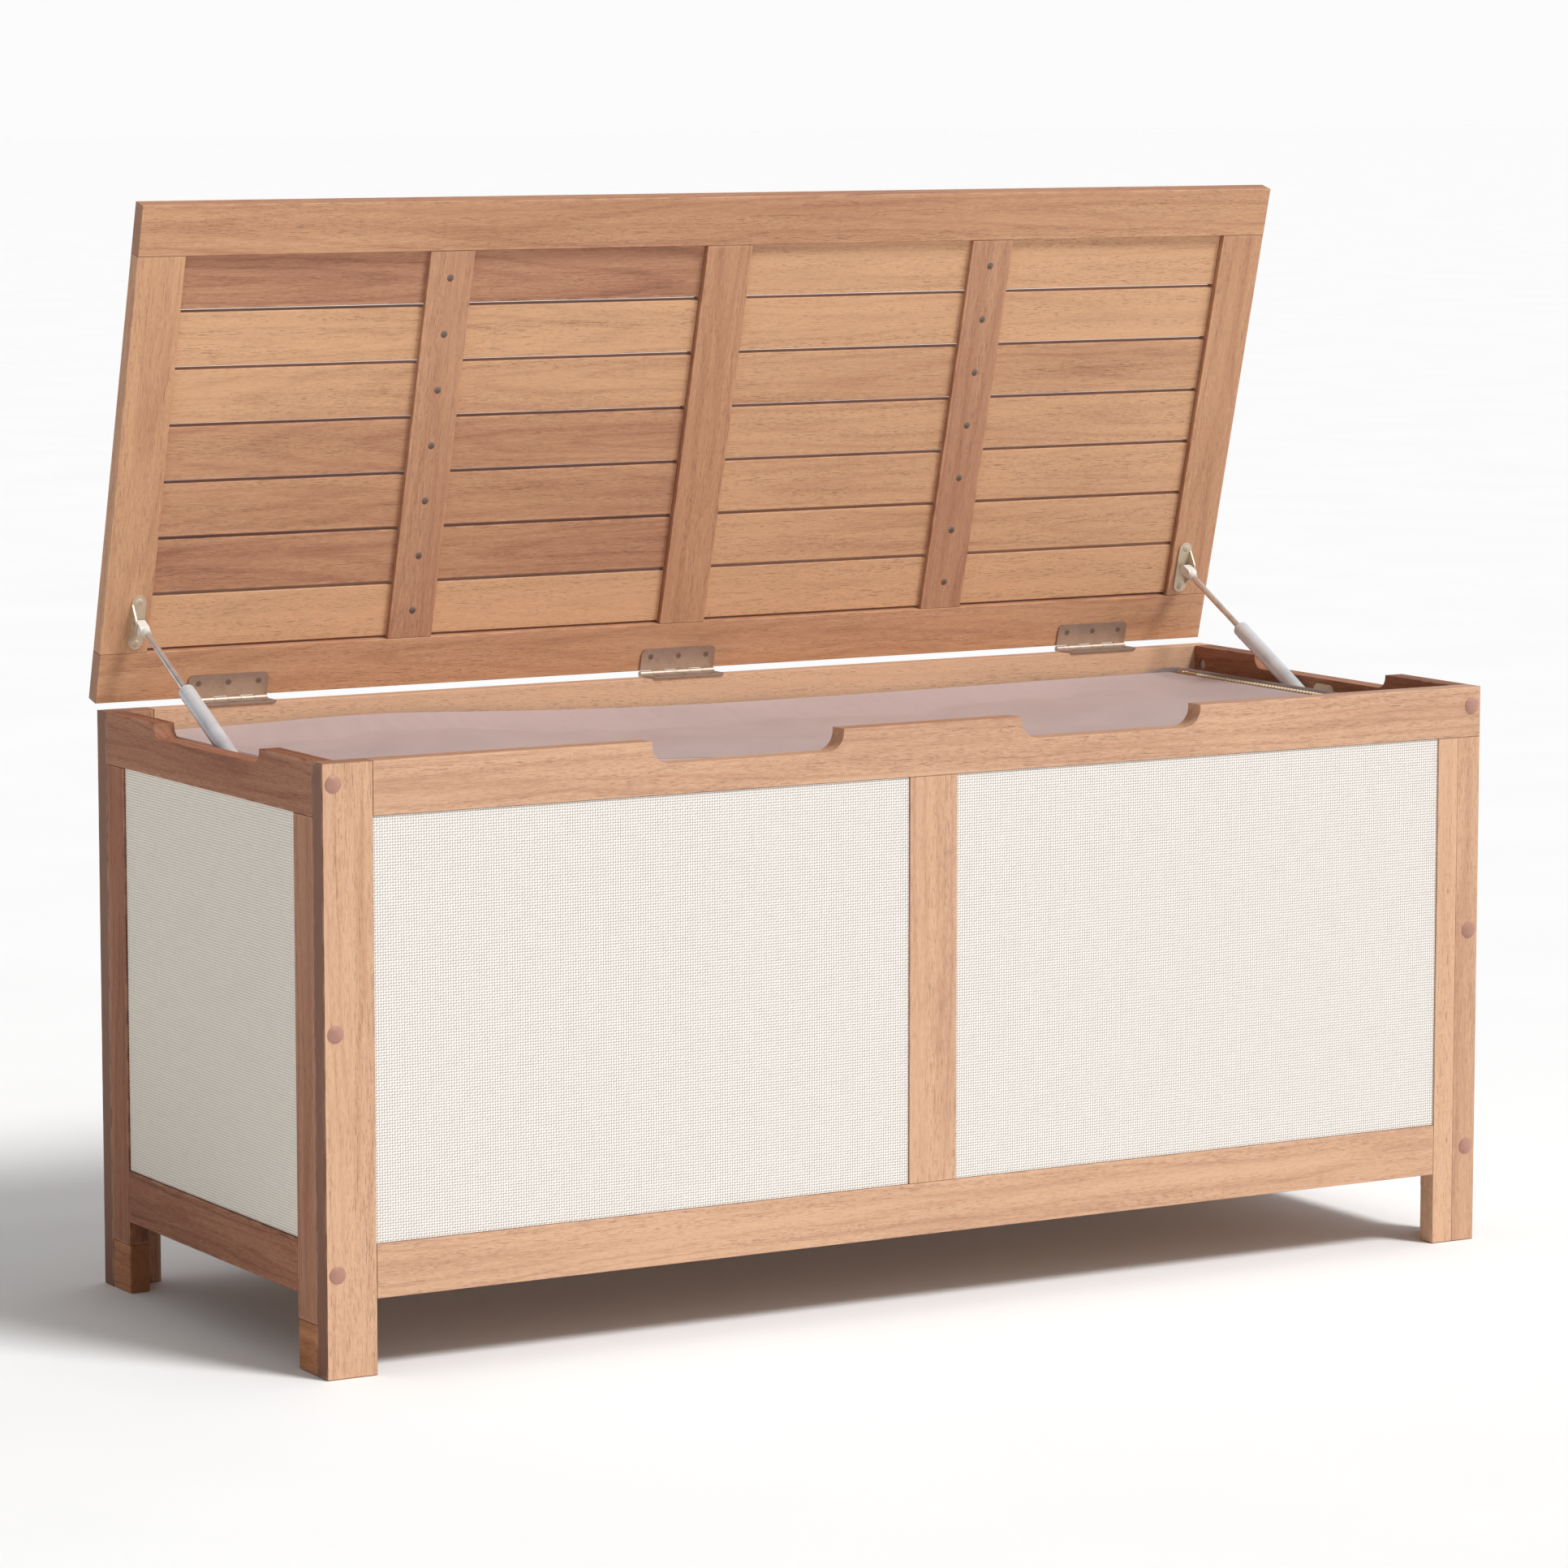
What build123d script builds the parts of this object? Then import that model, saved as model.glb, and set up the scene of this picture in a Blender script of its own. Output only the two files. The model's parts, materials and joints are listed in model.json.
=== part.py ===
from build123d import *
import os
from math import cos, radians, sin

# Slatted-lid storage bench. Millimetres, +X along the length, +Y to the back, +Z up.
# Built with y = 0 on the front face, then moved so that the origin is under its middle.

# ---- driving dimensions -------------------------------------------------------------------
LENGTH = 1200
DEPTH = 466
FRAME_TOP = 526          # top of the box frame above the floor
BOARD = 47               # width of posts, rails and lid boards
THICK = 20               # thickness of the box frame boards
SIDE_STILE = 37          # width of the stiles in the side frames
MULLION = 49
BOTTOM_RAIL_LOW = 66     # underside of the bottom rails
LAMINATION = 25          # width of the outer strip of the laminated right post
FOOT_HEIGHT = 44
EDGE = 0.6               # rounding on every board edge

SCOOP_DEPTH = 20
SCOOP_RADIUS = 17
FRONT_SCOOPS = ((-189, 192), (188, 192))     # middle along the rail, width at the top
SIDE_SCOOP_WIDTH = 218
SIDE_SCOOP_DEPTH = 13

RECESS = 1.5             # woven mesh behind the outer face of the frame
PANEL_PLAY = 0.4         # gap round each panel
STRIP = 14               # width of the strips that the mesh is stretched over
MESH_THICK = 1.2

LID_THICK = 15
LID_BOARD = 46.6
LID_GAP = 4              # between the box frame and the closed lid
LID_OPEN = 75.16         # degrees from closed
SLAT_COUNT = 7
SLAT_WIDTH = 50
SLAT_GAP = 3.3
SLAT_FRONT_GAP = 0.8     # between the front rail of the lid and the first slat
SLAT_THICK = 10
BATTEN_WIDTH = 45

PIN_BACK = 2.7           # hinge pin behind the rear face
KNUCKLE_RADIUS = 3
PIN_RADIUS = 1.5
LEAF_THICK = 1.6
LEAF_LENGTH = 80
LEAF_DEPTH = 22
HINGE_X = (-470, 0, 470)
SEGMENTS = 6

BRACKET_UP = 76.5        # strut bracket, along the lid from its rear edge
STRUT_X = 566            # strut axis either side of the middle
PIVOT_DROP = 8.5         # strut pivot under the lid
BOX_PIVOT = (222, 487)   # lower strut pivot, y and z
TUBE_RADIUS = 7.5
ROD_RADIUS = 3
ROD_VISIBLE = 108        # lid pivot to the end of the cylinder, lid open
END_LENGTH = 12          # pivot to the end of the cylinder's own fitting

LINER_X = 554            # half length of the liner bag
LINER_FRONT = 25
LINER_BACK = 441
LINER_TOP = 500
LINER_WALL = 2
FLAP_THICK = 2
FLAP_INSET = 9           # zip tape between the bag rim and the flap

BOLT_HEIGHTS = (90, 296, 508)
CAP_RADIUS = 7.4
CAP_DOME = 2.6
CAP_RIM = 0.5            # straight edge below the dome of a cap
BOLT_END = 41            # depth of the bolts behind the face
NUT_DEPTH = 33

# ---- derived ------------------------------------------------------------------------------
HALF = LENGTH / 2
RAIL_LOW = FRAME_TOP - BOARD
PANEL_LOW = BOTTOM_RAIL_LOW + BOARD
REAR = DEPTH - THICK
INNER = HALF - THICK
LID_LOW = FRAME_TOP + LID_GAP
LID_HIGH = LID_LOW + LID_THICK
PIN_Y = DEPTH + PIN_BACK
PIN_Z = FRAME_TOP + LID_GAP / 2
SLAT_PITCH = SLAT_WIDTH + SLAT_GAP

# The lid's highest rear corner, lid open, is the rearmost point; the caps are the foremost.
CORNER_UP = LID_HIGH - PIN_Z
REARMOST = PIN_Y + CORNER_UP * sin(radians(LID_OPEN)) - PIN_BACK * cos(radians(LID_OPEN))
MIDDLE_Y = (REARMOST - CAP_DOME) / 2

PARTS = {}               # sub-part name: list of its solids


# ---- helpers ------------------------------------------------------------------------------
def add(name, shape):
    """Keep one sub-part as a list of solids."""
    PARTS[name] = shape if isinstance(shape, list) else [shape]


def opened(shape):
    """Turn a piece of the closed lid about the hinge pin to the open position."""
    if isinstance(shape, list):
        return [opened(piece) for piece in shape]
    swing = Pos(0, PIN_Y, PIN_Z) * Rot(-LID_OPEN, 0, 0) * Pos(0, -PIN_Y, -PIN_Z)
    return swing * shape


def mirrored(shape):
    """Copy to the other end of the bench."""
    if isinstance(shape, list):
        return [mirrored(piece) for piece in shape]
    return mirror(shape, about=Plane.YZ)


def block(x, y, z):
    """Box from pairs of limits."""
    size = (x[1] - x[0], y[1] - y[0], z[1] - z[0])
    middle = Pos((x[0] + x[1]) / 2, (y[0] + y[1]) / 2, (z[0] + z[1]) / 2)
    return middle * Box(*size)


def board(x, y, z, edge=EDGE):
    """Wooden board with softened edges."""
    piece = block(x, y, z)
    return fillet(piece.edges(), edge)


def rod(start, end, radius):
    """Round bar between two points."""
    axis = Vector(*end) - Vector(*start)
    plane = Plane(origin=start, z_dir=axis)
    return extrude(plane * Circle(radius), axis.length)


def scoop(middle, width, depth, across, along_y=False):
    """Cutter for a hand scoop in the top edge of a rail, with rounded lower corners."""
    face = Pos(0, FRAME_TOP) * Rectangle(width, 2 * depth)
    corners = face.vertices().sort_by(Axis.Y)[:2]
    face = fillet(corners, min(SCOOP_RADIUS, depth - 1.5))
    plane = Plane.YZ if along_y else Plane.XZ
    cutter = extrude(plane * face, 60, both=True)
    return (Pos(across, middle, 0) if along_y else Pos(middle, across, 0)) * cutter


def scooped(rail, cutters, depth):
    """Cut hand scoops into a rail and soften the long edges that they leave."""
    rail = rail - cutters
    low, high = FRAME_TOP - depth - 0.5, FRAME_TOP - EDGE - 0.2
    fresh = [edge for edge in rail.edges() if low < edge.center().Z < high and edge.length > 8]
    return fillet(ShapeList(fresh), EDGE)


def panel(x, y, z):
    """Woven panel that fills an opening but for a little play."""
    return block((x[0] + PANEL_PLAY, x[1] - PANEL_PLAY), y, (z[0] + PANEL_PLAY, z[1] - PANEL_PLAY))


def bolt_hole(x, y_face, inward, z):
    """Bolt hole and counterbore through a post into the side stile."""
    shank = rod((x, y_face, z), (x, y_face + inward * BOLT_END, z), 3.2)
    seat = rod((x, y_face, z), (x, y_face + inward * 7, z), CAP_RADIUS - 0.2)
    return shank + seat


def screw(head_radius=3.2, head_height=0.8, length=9, shank=1.4):
    """Domed screw standing on z = 0 with its shank below."""
    dome_radius = (head_radius**2 + head_height**2) / (2 * head_height)
    dome = Pos(0, 0, head_height - dome_radius) * Sphere(dome_radius)
    head = dome & Pos(0, 0, head_height / 2) * Cylinder(head_radius, head_height)
    slot = Pos(0, 0, head_height) * (Box(head_radius, 0.6, 0.8) + Box(0.6, head_radius, 0.8))
    return head - slot + Pos(0, 0, -length / 2) * Cylinder(shank, length)


# ---- front and rear frames ----------------------------------------------------------------
MULLION_X = (-MULLION / 2, MULLION / 2)
OPENINGS = ((-HALF + BOARD, MULLION_X[0]), (MULLION_X[1], HALF - BOARD))
PANEL_Z = (PANEL_LOW, RAIL_LOW)
BOLT_X = HALF - THICK / 2


def long_frame(front):
    """Boards of the front or the rear frame, by name."""
    y = (0, THICK) if front else (REAR, DEPTH)
    x_left = (-HALF, -HALF + BOARD)
    x_right = (HALF - BOARD, HALF)
    split = HALF - LAMINATION
    top = board((x_left[1], HALF), y, (RAIL_LOW, FRAME_TOP))
    outer = board((split, HALF), y, (0, RAIL_LOW))
    inner = board((x_right[0], split), y, (0, RAIL_LOW))
    boards = {
        "left_post": [board(x_left, y, (0, FRAME_TOP))],
        "right_post": [inner, outer],
        "mullion": [board(MULLION_X, y, PANEL_Z)],
        "top_rail": [top],
        "bottom_rail": [board((x_left[1], x_right[0]), y, (BOTTOM_RAIL_LOW, PANEL_LOW))],
    }
    cutters = []
    face, inward = (0, 1) if front else (DEPTH, -1)
    for z in BOLT_HEIGHTS:
        cutters += [bolt_hole(side * BOLT_X, face, inward, z) for side in (-1, 1)]
    boards = {name: [piece - cutters for piece in group] for name, group in boards.items()}
    if front:
        scoops = [scoop(middle, width, SCOOP_DEPTH, 0) for middle, width in FRONT_SCOOPS]
        boards["top_rail"] = [scooped(boards["top_rail"][0], scoops, SCOOP_DEPTH)]
    return boards


for side_name, is_front in (("front", True), ("rear", False)):
    for name, group in long_frame(is_front).items():
        add(f"{side_name}_{name}", group)


# ---- side frames --------------------------------------------------------------------------
SIDE_OPENING = (THICK + SIDE_STILE, REAR - SIDE_STILE)


def side_frame():
    """Boards of the left side frame, by name."""
    x = (-HALF, -INNER)
    boards = {
        "top_rail": board(x, (THICK, REAR), (RAIL_LOW, FRAME_TOP)),
        "bottom_rail": board(x, SIDE_OPENING, (BOTTOM_RAIL_LOW, PANEL_LOW)),
        "front_stile": board(x, (THICK, SIDE_OPENING[0]), (FOOT_HEIGHT, RAIL_LOW)),
        "rear_stile": board(x, (SIDE_OPENING[1], REAR), (FOOT_HEIGHT, RAIL_LOW)),
    }
    cutters = []
    for z in BOLT_HEIGHTS:
        for face, inward in ((0, 1), (DEPTH, -1)):
            cutters.append(bolt_hole(-BOLT_X, face, inward, z))
            cutters.append(nut_blank(face + inward * NUT_DEPTH, z, 0.1))
    boards = {name: piece - cutters for name, piece in boards.items()}
    side_scoop = scoop(DEPTH / 2, SIDE_SCOOP_WIDTH, SIDE_SCOOP_DEPTH, -HALF, along_y=True)
    boards["top_rail"] = scooped(boards["top_rail"], side_scoop, SIDE_SCOOP_DEPTH)
    return boards


def nut_blank(y, z, extra=0.0):
    """Cross nut, without its thread, let into the inner face of the left side frame."""
    return rod((-INNER - 15, y, z), (-INNER - 1 + extra * 10, y, z), 5 + extra)


LEFT_FRAME = side_frame()
for name, piece in LEFT_FRAME.items():
    add(f"left_{name}", piece)
    add(f"right_{name}", mirrored(piece))

FEET = []
for y in ((THICK, THICK + SIDE_STILE), (REAR - SIDE_STILE, REAR)):
    foot = board((-HALF, -INNER), y, (0, FOOT_HEIGHT), edge=2)
    FEET += [foot, mirrored(foot)]
add("foot_blocks", FEET)

# ---- woven panels and the strips that hold them -------------------------------------------
STRIPS = []


def strip_ring(low, high, make):
    """Four strips just inside an opening: two long ones and two between them."""
    a = (low[0] + PANEL_PLAY, high[0] - PANEL_PLAY)
    b = (low[1] + PANEL_PLAY, high[1] - PANEL_PLAY)
    for z in ((b[0], b[0] + STRIP), (b[1] - STRIP, b[1])):
        STRIPS.append(make(a, z))
    for x in ((a[0], a[0] + STRIP), (a[1] - STRIP, a[1])):
        STRIPS.append(make(x, (b[0] + STRIP, b[1] - STRIP)))


def panel_y(front):
    """Limits of the mesh and of the strip behind it, front or rear."""
    if front:
        return (RECESS, RECESS + MESH_THICK), (RECESS + MESH_THICK, THICK)
    return (DEPTH - RECESS - MESH_THICK, DEPTH - RECESS), (REAR, DEPTH - RECESS - MESH_THICK)


for side_name, is_front in (("front", True), ("rear", False)):
    mesh_y, strip_y = panel_y(is_front)
    for half_name, (x_low, x_high) in zip(("left", "right"), OPENINGS):
        add(f"{side_name}_{half_name}_mesh", panel((x_low, x_high), mesh_y, PANEL_Z))
        strip_ring((x_low, PANEL_LOW), (x_high, RAIL_LOW),
                   lambda x, z, y=strip_y: board(x, y, z, edge=0.8))

MESH_X = (-HALF + RECESS, -HALF + RECESS + MESH_THICK)
SIDE_MESH = block(
    MESH_X,
    (SIDE_OPENING[0] + PANEL_PLAY, SIDE_OPENING[1] - PANEL_PLAY),
    (PANEL_LOW + PANEL_PLAY, RAIL_LOW - PANEL_PLAY),
)
add("left_side_mesh", SIDE_MESH)
add("right_side_mesh", mirrored(SIDE_MESH))
for x_limits in ((MESH_X[1], -INNER), (INNER, -MESH_X[1])):
    strip_ring((SIDE_OPENING[0], PANEL_LOW), (SIDE_OPENING[1], RAIL_LOW),
               lambda y, z, x=x_limits: board(x, y, z, edge=0.8))
add("mesh_strips", STRIPS)

# ---- bolts, nuts and caps -----------------------------------------------------------------
BOLTS, CAPS = [], []
for z in BOLT_HEIGHTS:
    for face, inward in ((0, 1), (DEPTH, -1)):
        head = rod((-BOLT_X, face + inward * 3.5, z), (-BOLT_X, face + inward * 7, z), 5)
        shank = rod((-BOLT_X, face + inward * 7, z), (-BOLT_X, face + inward * (BOLT_END - 1), z), 3)
        bolt = head + shank
        nut = nut_blank(face + inward * NUT_DEPTH, z) - shank
        rise = CAP_DOME - CAP_RIM
        dome_radius = (CAP_RADIUS**2 + rise**2) / (2 * rise)
        dome = Pos(-BOLT_X, face + inward * (dome_radius - CAP_DOME), z) * Sphere(dome_radius)
        outer = rod((-BOLT_X, face - inward * 4, z), (-BOLT_X, face, z), CAP_RADIUS)
        plug = rod((-BOLT_X, face, z), (-BOLT_X, face + inward * 3, z), CAP_RADIUS - 0.6)
        cap = (dome & outer) + plug
        BOLTS += [bolt, mirrored(bolt), nut, mirrored(nut)]
        CAPS += [cap, mirrored(cap)]
add("connector_bolts", BOLTS)
add("bolt_caps", CAPS)

# ---- floor --------------------------------------------------------------------------------
BEARER = 20              # side of the square bearers
BEARER_UP = 4            # bearers above the underside of the bottom rails
FLOOR_SLAT = 56
FLOOR_THICK = 10
FLOOR_MARGIN = 30        # first and last slat in from the side frames
FLOOR_PLAY = 2           # ends of the slats clear of the front and the rear frame
CROSS_SLATS = 14
BEARER_Z = (BOTTOM_RAIL_LOW + BEARER_UP, BOTTOM_RAIL_LOW + BEARER_UP + BEARER)
FLOOR_TOP = BEARER_Z[1] + FLOOR_THICK
FLOOR_Z = (BEARER_Z[1], FLOOR_TOP)
BEARERS = [
    board((-HALF + BOARD, HALF - BOARD), y, BEARER_Z)
    for y in ((THICK, THICK + BEARER), (REAR - BEARER, REAR))
]
add("floor_bearers", BEARERS)
first_x = -INNER + FLOOR_MARGIN
cross_step = (-2 * first_x - FLOOR_SLAT) / (CROSS_SLATS - 1)
FLOOR = []
for index in range(CROSS_SLATS):
    x_low = first_x + index * cross_step
    slat_x = (x_low, x_low + FLOOR_SLAT)
    FLOOR.append(board(slat_x, (THICK + FLOOR_PLAY, REAR - FLOOR_PLAY), FLOOR_Z))
add("floor_slats", FLOOR)

# ---- liner bag, zip and flap --------------------------------------------------------------
CLEAR = 0.4              # cloth clear of what is under it
BAG_LOW = FLOOR_TOP + CLEAR
LINER_Y = (LINER_FRONT, LINER_BACK)
WALL_Z = (BAG_LOW + LINER_WALL, LINER_TOP)
BAG = [block((-LINER_X, LINER_X), LINER_Y, (BAG_LOW, BAG_LOW + LINER_WALL))]
for y in ((LINER_FRONT, LINER_FRONT + LINER_WALL), (LINER_BACK - LINER_WALL, LINER_BACK)):
    BAG.append(block((-LINER_X, LINER_X), y, WALL_Z))
for x in ((-LINER_X, -LINER_X + LINER_WALL), (LINER_X - LINER_WALL, LINER_X)):
    BAG.append(block(x, (LINER_FRONT + LINER_WALL, LINER_BACK - LINER_WALL), WALL_Z))
add("liner_bag", BAG)

ZIP_THICK = 1.2
RIM_Z = (LINER_TOP, LINER_TOP + ZIP_THICK)
FLAP_X = LINER_X - FLAP_INSET
FLAP_FRONT = LINER_FRONT + FLAP_INSET
tape = []
for x in ((-LINER_X, -FLAP_X - 0.5), (FLAP_X + 0.5, LINER_X)):
    tape.append(block(x, LINER_Y, RIM_Z))
tape.append(block((-FLAP_X - 0.5, FLAP_X + 0.5), (LINER_FRONT, FLAP_FRONT - 0.5), RIM_Z))
add("liner_zip", tape)

FLAP_Z = (LINER_TOP + CLEAR, LINER_TOP + CLEAR + FLAP_THICK)
FLAP_HINGE_Y = LINER_BACK - 4
add("liner_flap", block((-FLAP_X, FLAP_X), (FLAP_FRONT, FLAP_HINGE_Y - 1), FLAP_Z))

SLIDER_X = FLAP_X + FLAP_INSET / 2
SLIDER_Y = FLAP_HINGE_Y - 14
SLIDER_Z = RIM_Z[1] + 0.2
slider_body = Pos(SLIDER_X, SLIDER_Y, SLIDER_Z + 1.6) * fillet(Box(7, 11, 3.2).edges(), 0.9)
pull_plate = extrude(RectangleRounded(5, 26, 2.2), 1.2) - Pos(0, 9, 0) * Cylinder(1.4, 6)
pull = Pos(SLIDER_X, SLIDER_Y - 14, SLIDER_Z + 1.4) * pull_plate
bail = Pos(SLIDER_X, SLIDER_Y - 3.4, SLIDER_Z + 2.6) * Box(1.6, 5, 1.4)
add("zip_slider", slider_body + bail + pull)

# ---- lid, described closed ----------------------------------------------------------------
LID_Z = (LID_LOW, LID_HIGH)
LID_STILE_X = (-HALF, -HALF + LID_BOARD)
LID_INNER_Y = (LID_BOARD, DEPTH - LID_BOARD)
left_stile = board(LID_STILE_X, LID_INNER_Y, LID_Z)
add("lid_front_rail", opened(board((-HALF, HALF), (0, LID_BOARD), LID_Z)))
add("lid_rear_rail", opened(board((-HALF, HALF), (DEPTH - LID_BOARD, DEPTH), LID_Z)))
add("lid_left_stile", opened(left_stile))
add("lid_right_stile", opened(mirrored(left_stile)))
LID_MULLION = 48
add("lid_mullion", opened(board((-LID_MULLION / 2, LID_MULLION / 2), LID_INNER_Y, LID_Z)))

BAY_X = (-HALF + LID_BOARD, -LID_MULLION / 2)
BATTEN_X = (BAY_X[0] + BAY_X[1]) / 2
SLAT_Z = (LID_HIGH - SLAT_THICK, LID_HIGH)
BATTEN_Z = (LID_LOW + 0.4, SLAT_Z[0])
SLATS, SLAT_MIDDLES = [], []
for index in range(SLAT_COUNT):
    y_low = LID_BOARD + SLAT_FRONT_GAP + index * SLAT_PITCH
    SLATS.append(board(BAY_X, (y_low, y_low + SLAT_WIDTH), SLAT_Z))
    SLAT_MIDDLES.append(y_low + SLAT_WIDTH / 2)
add("lid_left_slats", opened(SLATS))
add("lid_right_slats", opened(mirrored(SLATS)))
batten = board((BATTEN_X - BATTEN_WIDTH / 2, BATTEN_X + BATTEN_WIDTH / 2), LID_INNER_Y, BATTEN_Z)
BATTEN_SCREWS = []
for y in SLAT_MIDDLES:
    fastener = Pos(BATTEN_X, y, BATTEN_Z[0]) * Rot(180, 0, 0) * screw(3.4, 0.9, 11)
    hole = Pos(BATTEN_X, y, BATTEN_Z[0]) * Cylinder(1.4, 30)
    batten -= hole
    BATTEN_SCREWS += [fastener, mirrored(fastener)]
add("lid_battens", opened([batten, mirrored(batten)]))
add("batten_screws", opened(BATTEN_SCREWS))

# ---- butt hinges --------------------------------------------------------------------------
SEGMENT = LEAF_LENGTH / SEGMENTS
LEAF_SCREWS = ((-30, 8), (0, 8), (30, 8))      # along the leaf, in from its free edge


def leaf(middle, z, first):
    """Hinge leaf with every other knuckle, from segment number first."""
    free_edge = PIN_Y - LEAF_DEPTH - PIN_BACK
    flat = (z[0] + z[1]) / 2
    plate = block((-LEAF_LENGTH / 2, LEAF_LENGTH / 2),
                  (free_edge, PIN_Y - KNUCKLE_RADIUS - 0.5), z)
    plate = fillet(plate.edges().filter_by(Axis.Z).group_by(Axis.Y)[0], 5)
    for index in range(first, SEGMENTS, 2):
        low = -LEAF_LENGTH / 2 + index * SEGMENT + 0.15
        high = low + SEGMENT - 0.3
        tongue = block((low, high), (PIN_Y - KNUCKLE_RADIUS - 1, PIN_Y), z)
        plate = plate + tongue + rod((low, PIN_Y, PIN_Z), (high, PIN_Y, PIN_Z), KNUCKLE_RADIUS)
    plate -= rod((-LEAF_LENGTH, PIN_Y, PIN_Z), (LEAF_LENGTH, PIN_Y, PIN_Z), PIN_RADIUS + 0.05)
    for along, inset in LEAF_SCREWS:
        plate -= Pos(along, free_edge + inset, flat) * Cylinder(1.5, 10)
    return Pos(middle, 0, 0) * plate


def leaf_screws(middle, z, up):
    """Three screws through a leaf; up is 1 when the heads point up."""
    free_edge = PIN_Y - LEAF_DEPTH - PIN_BACK
    turn = 0 if up > 0 else 180
    return [Pos(middle + along, free_edge + inset, z) * Rot(turn, 0, 0) * screw(2.9, 0.35, 11)
            for along, inset in LEAF_SCREWS]


BOX_LEAF_Z = (FRAME_TOP, FRAME_TOP + LEAF_THICK)
LID_LEAF_Z = (LID_LOW - LEAF_THICK, LID_LOW)
box_leaves, lid_leaves, pins, box_screws, lid_screws = [], [], [], [], []
for middle in HINGE_X:
    box_leaves.append(leaf(middle, BOX_LEAF_Z, 0))
    lid_leaves.append(leaf(middle, LID_LEAF_Z, 1))
    pins.append(rod((middle - LEAF_LENGTH / 2, PIN_Y, PIN_Z),
                    (middle + LEAF_LENGTH / 2, PIN_Y, PIN_Z), PIN_RADIUS))
    box_screws += leaf_screws(middle, BOX_LEAF_Z[1], 1)
    lid_screws += leaf_screws(middle, LID_LEAF_Z[0], -1)
add("hinge_box_leaves", box_leaves)
add("hinge_pins", pins)
add("hinge_box_screws", box_screws)
add("hinge_lid_leaves", opened(lid_leaves))
add("hinge_lid_screws", opened(lid_screws))

# ---- gas struts, left one described, lid open ---------------------------------------------
LEFT_X = -STRUT_X
LID_PIVOT_Z = LID_LOW - PIVOT_DROP
PIVOT_Y = DEPTH - BRACKET_UP
lid_pivot = opened(Pos(LEFT_X, PIVOT_Y, LID_PIVOT_Z) * Sphere(1)).center()
box_pivot = Vector(LEFT_X, *BOX_PIVOT)
along = (box_pivot - lid_pivot).normalized()
STRUT_LENGTH = (box_pivot - lid_pivot).length


def on_strut(distance, x=LEFT_X):
    """Point on the strut's axis, measured from the lid pivot."""
    point = lid_pivot + along * distance
    return (x, point.Y, point.Z)


PLATE = 1.6
EAR_X = (LEFT_X - 7.6, LEFT_X - 6.0)
PLATE_LENGTH = 51.5
PLATE_WIDTH = 14
plate_x = EAR_X[0] + PLATE_WIDTH / 2
plate_outline = SlotOverall(PLATE_LENGTH, PLATE_WIDTH, rotation=90)
lid_plate = Pos(plate_x, PIVOT_Y, LID_LOW - PLATE) * extrude(plate_outline, PLATE)
ear_outline = Polyline((-19, 0), (19, 0), (5, -13.5), (-5, -13.5), close=True)
ear_face = make_face(ear_outline)
ear_face = fillet(ear_face.vertices().sort_by(Axis.Y)[:2], 4.5)
ear = Pos(EAR_X[0], PIVOT_Y, LID_LOW) * extrude(Plane.YZ * ear_face, PLATE)
rivet = rod((EAR_X[0] - 1.2, PIVOT_Y, LID_PIVOT_Z), (EAR_X[1] + 0.2, PIVOT_Y, LID_PIVOT_Z), 3)
lid_bracket = lid_plate + ear + rivet
lid_bracket_screws = []
for offset in (-19.8, 19.8):
    place = Pos(plate_x, PIVOT_Y + offset, LID_LOW - PLATE)
    lid_bracket -= place * Cylinder(1.6, 10)
    lid_bracket_screws.append(place * Rot(180, 0, 0) * screw(3.6, 1.0, 11))
lid_bracket = opened(lid_bracket)
lid_bracket_screws = opened(lid_bracket_screws)
add("strut_lid_brackets", [lid_bracket, mirrored(lid_bracket)])
add("strut_lid_screws", lid_bracket_screws + mirrored(lid_bracket_screws))

plate_outline = RectangleRounded(34, 28, 8)
box_plate = Pos(-INNER, BOX_PIVOT[0], BOX_PIVOT[1] + 7) * extrude(Plane.YZ * plate_outline, 2)
stud = rod((-INNER + 2, *BOX_PIVOT), (LEFT_X - 7.9, *BOX_PIVOT), 3.5)
box_bracket = box_plate + stud
box_bracket_screws = []
for offset in (-10, 10):
    place = Pos(-INNER + 2, BOX_PIVOT[0] + offset, BOX_PIVOT[1] + 13)
    box_bracket -= place * Rot(0, 90, 0) * Cylinder(1.6, 10)
    box_bracket_screws.append(place * Rot(0, 90, 0) * screw(3.4, 1.0, 10))
add("strut_box_brackets", [box_bracket, mirrored(box_bracket)])
add("strut_box_screws", box_bracket_screws + mirrored(box_bracket_screws))

ROD_END = 16             # lid pivot to where the bare rod starts
FIT_X = (LEFT_X - 5.7, LEFT_X + 3.5)
strut_plane = Plane(origin=on_strut(0), x_dir=along, z_dir=(1, 0, 0))
end_outline = Pos(3.4, 0) * RectangleRounded(16, 8.6, 3.6)
rod_end = extrude(strut_plane * end_outline, FIT_X[1] - FIT_X[0])
rod_end = Pos(FIT_X[0] - LEFT_X, 0, 0) * rod_end
collar = rod(on_strut(10), on_strut(ROD_END), 4.2)
rod_end = rod_end + collar - rod(on_strut(9), on_strut(ROD_END + 5), ROD_RADIUS)
STROKE_RESERVE = 30
strut_rod = rod(on_strut(9), on_strut(ROD_VISIBLE + STROKE_RESERVE), ROD_RADIUS)

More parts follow.
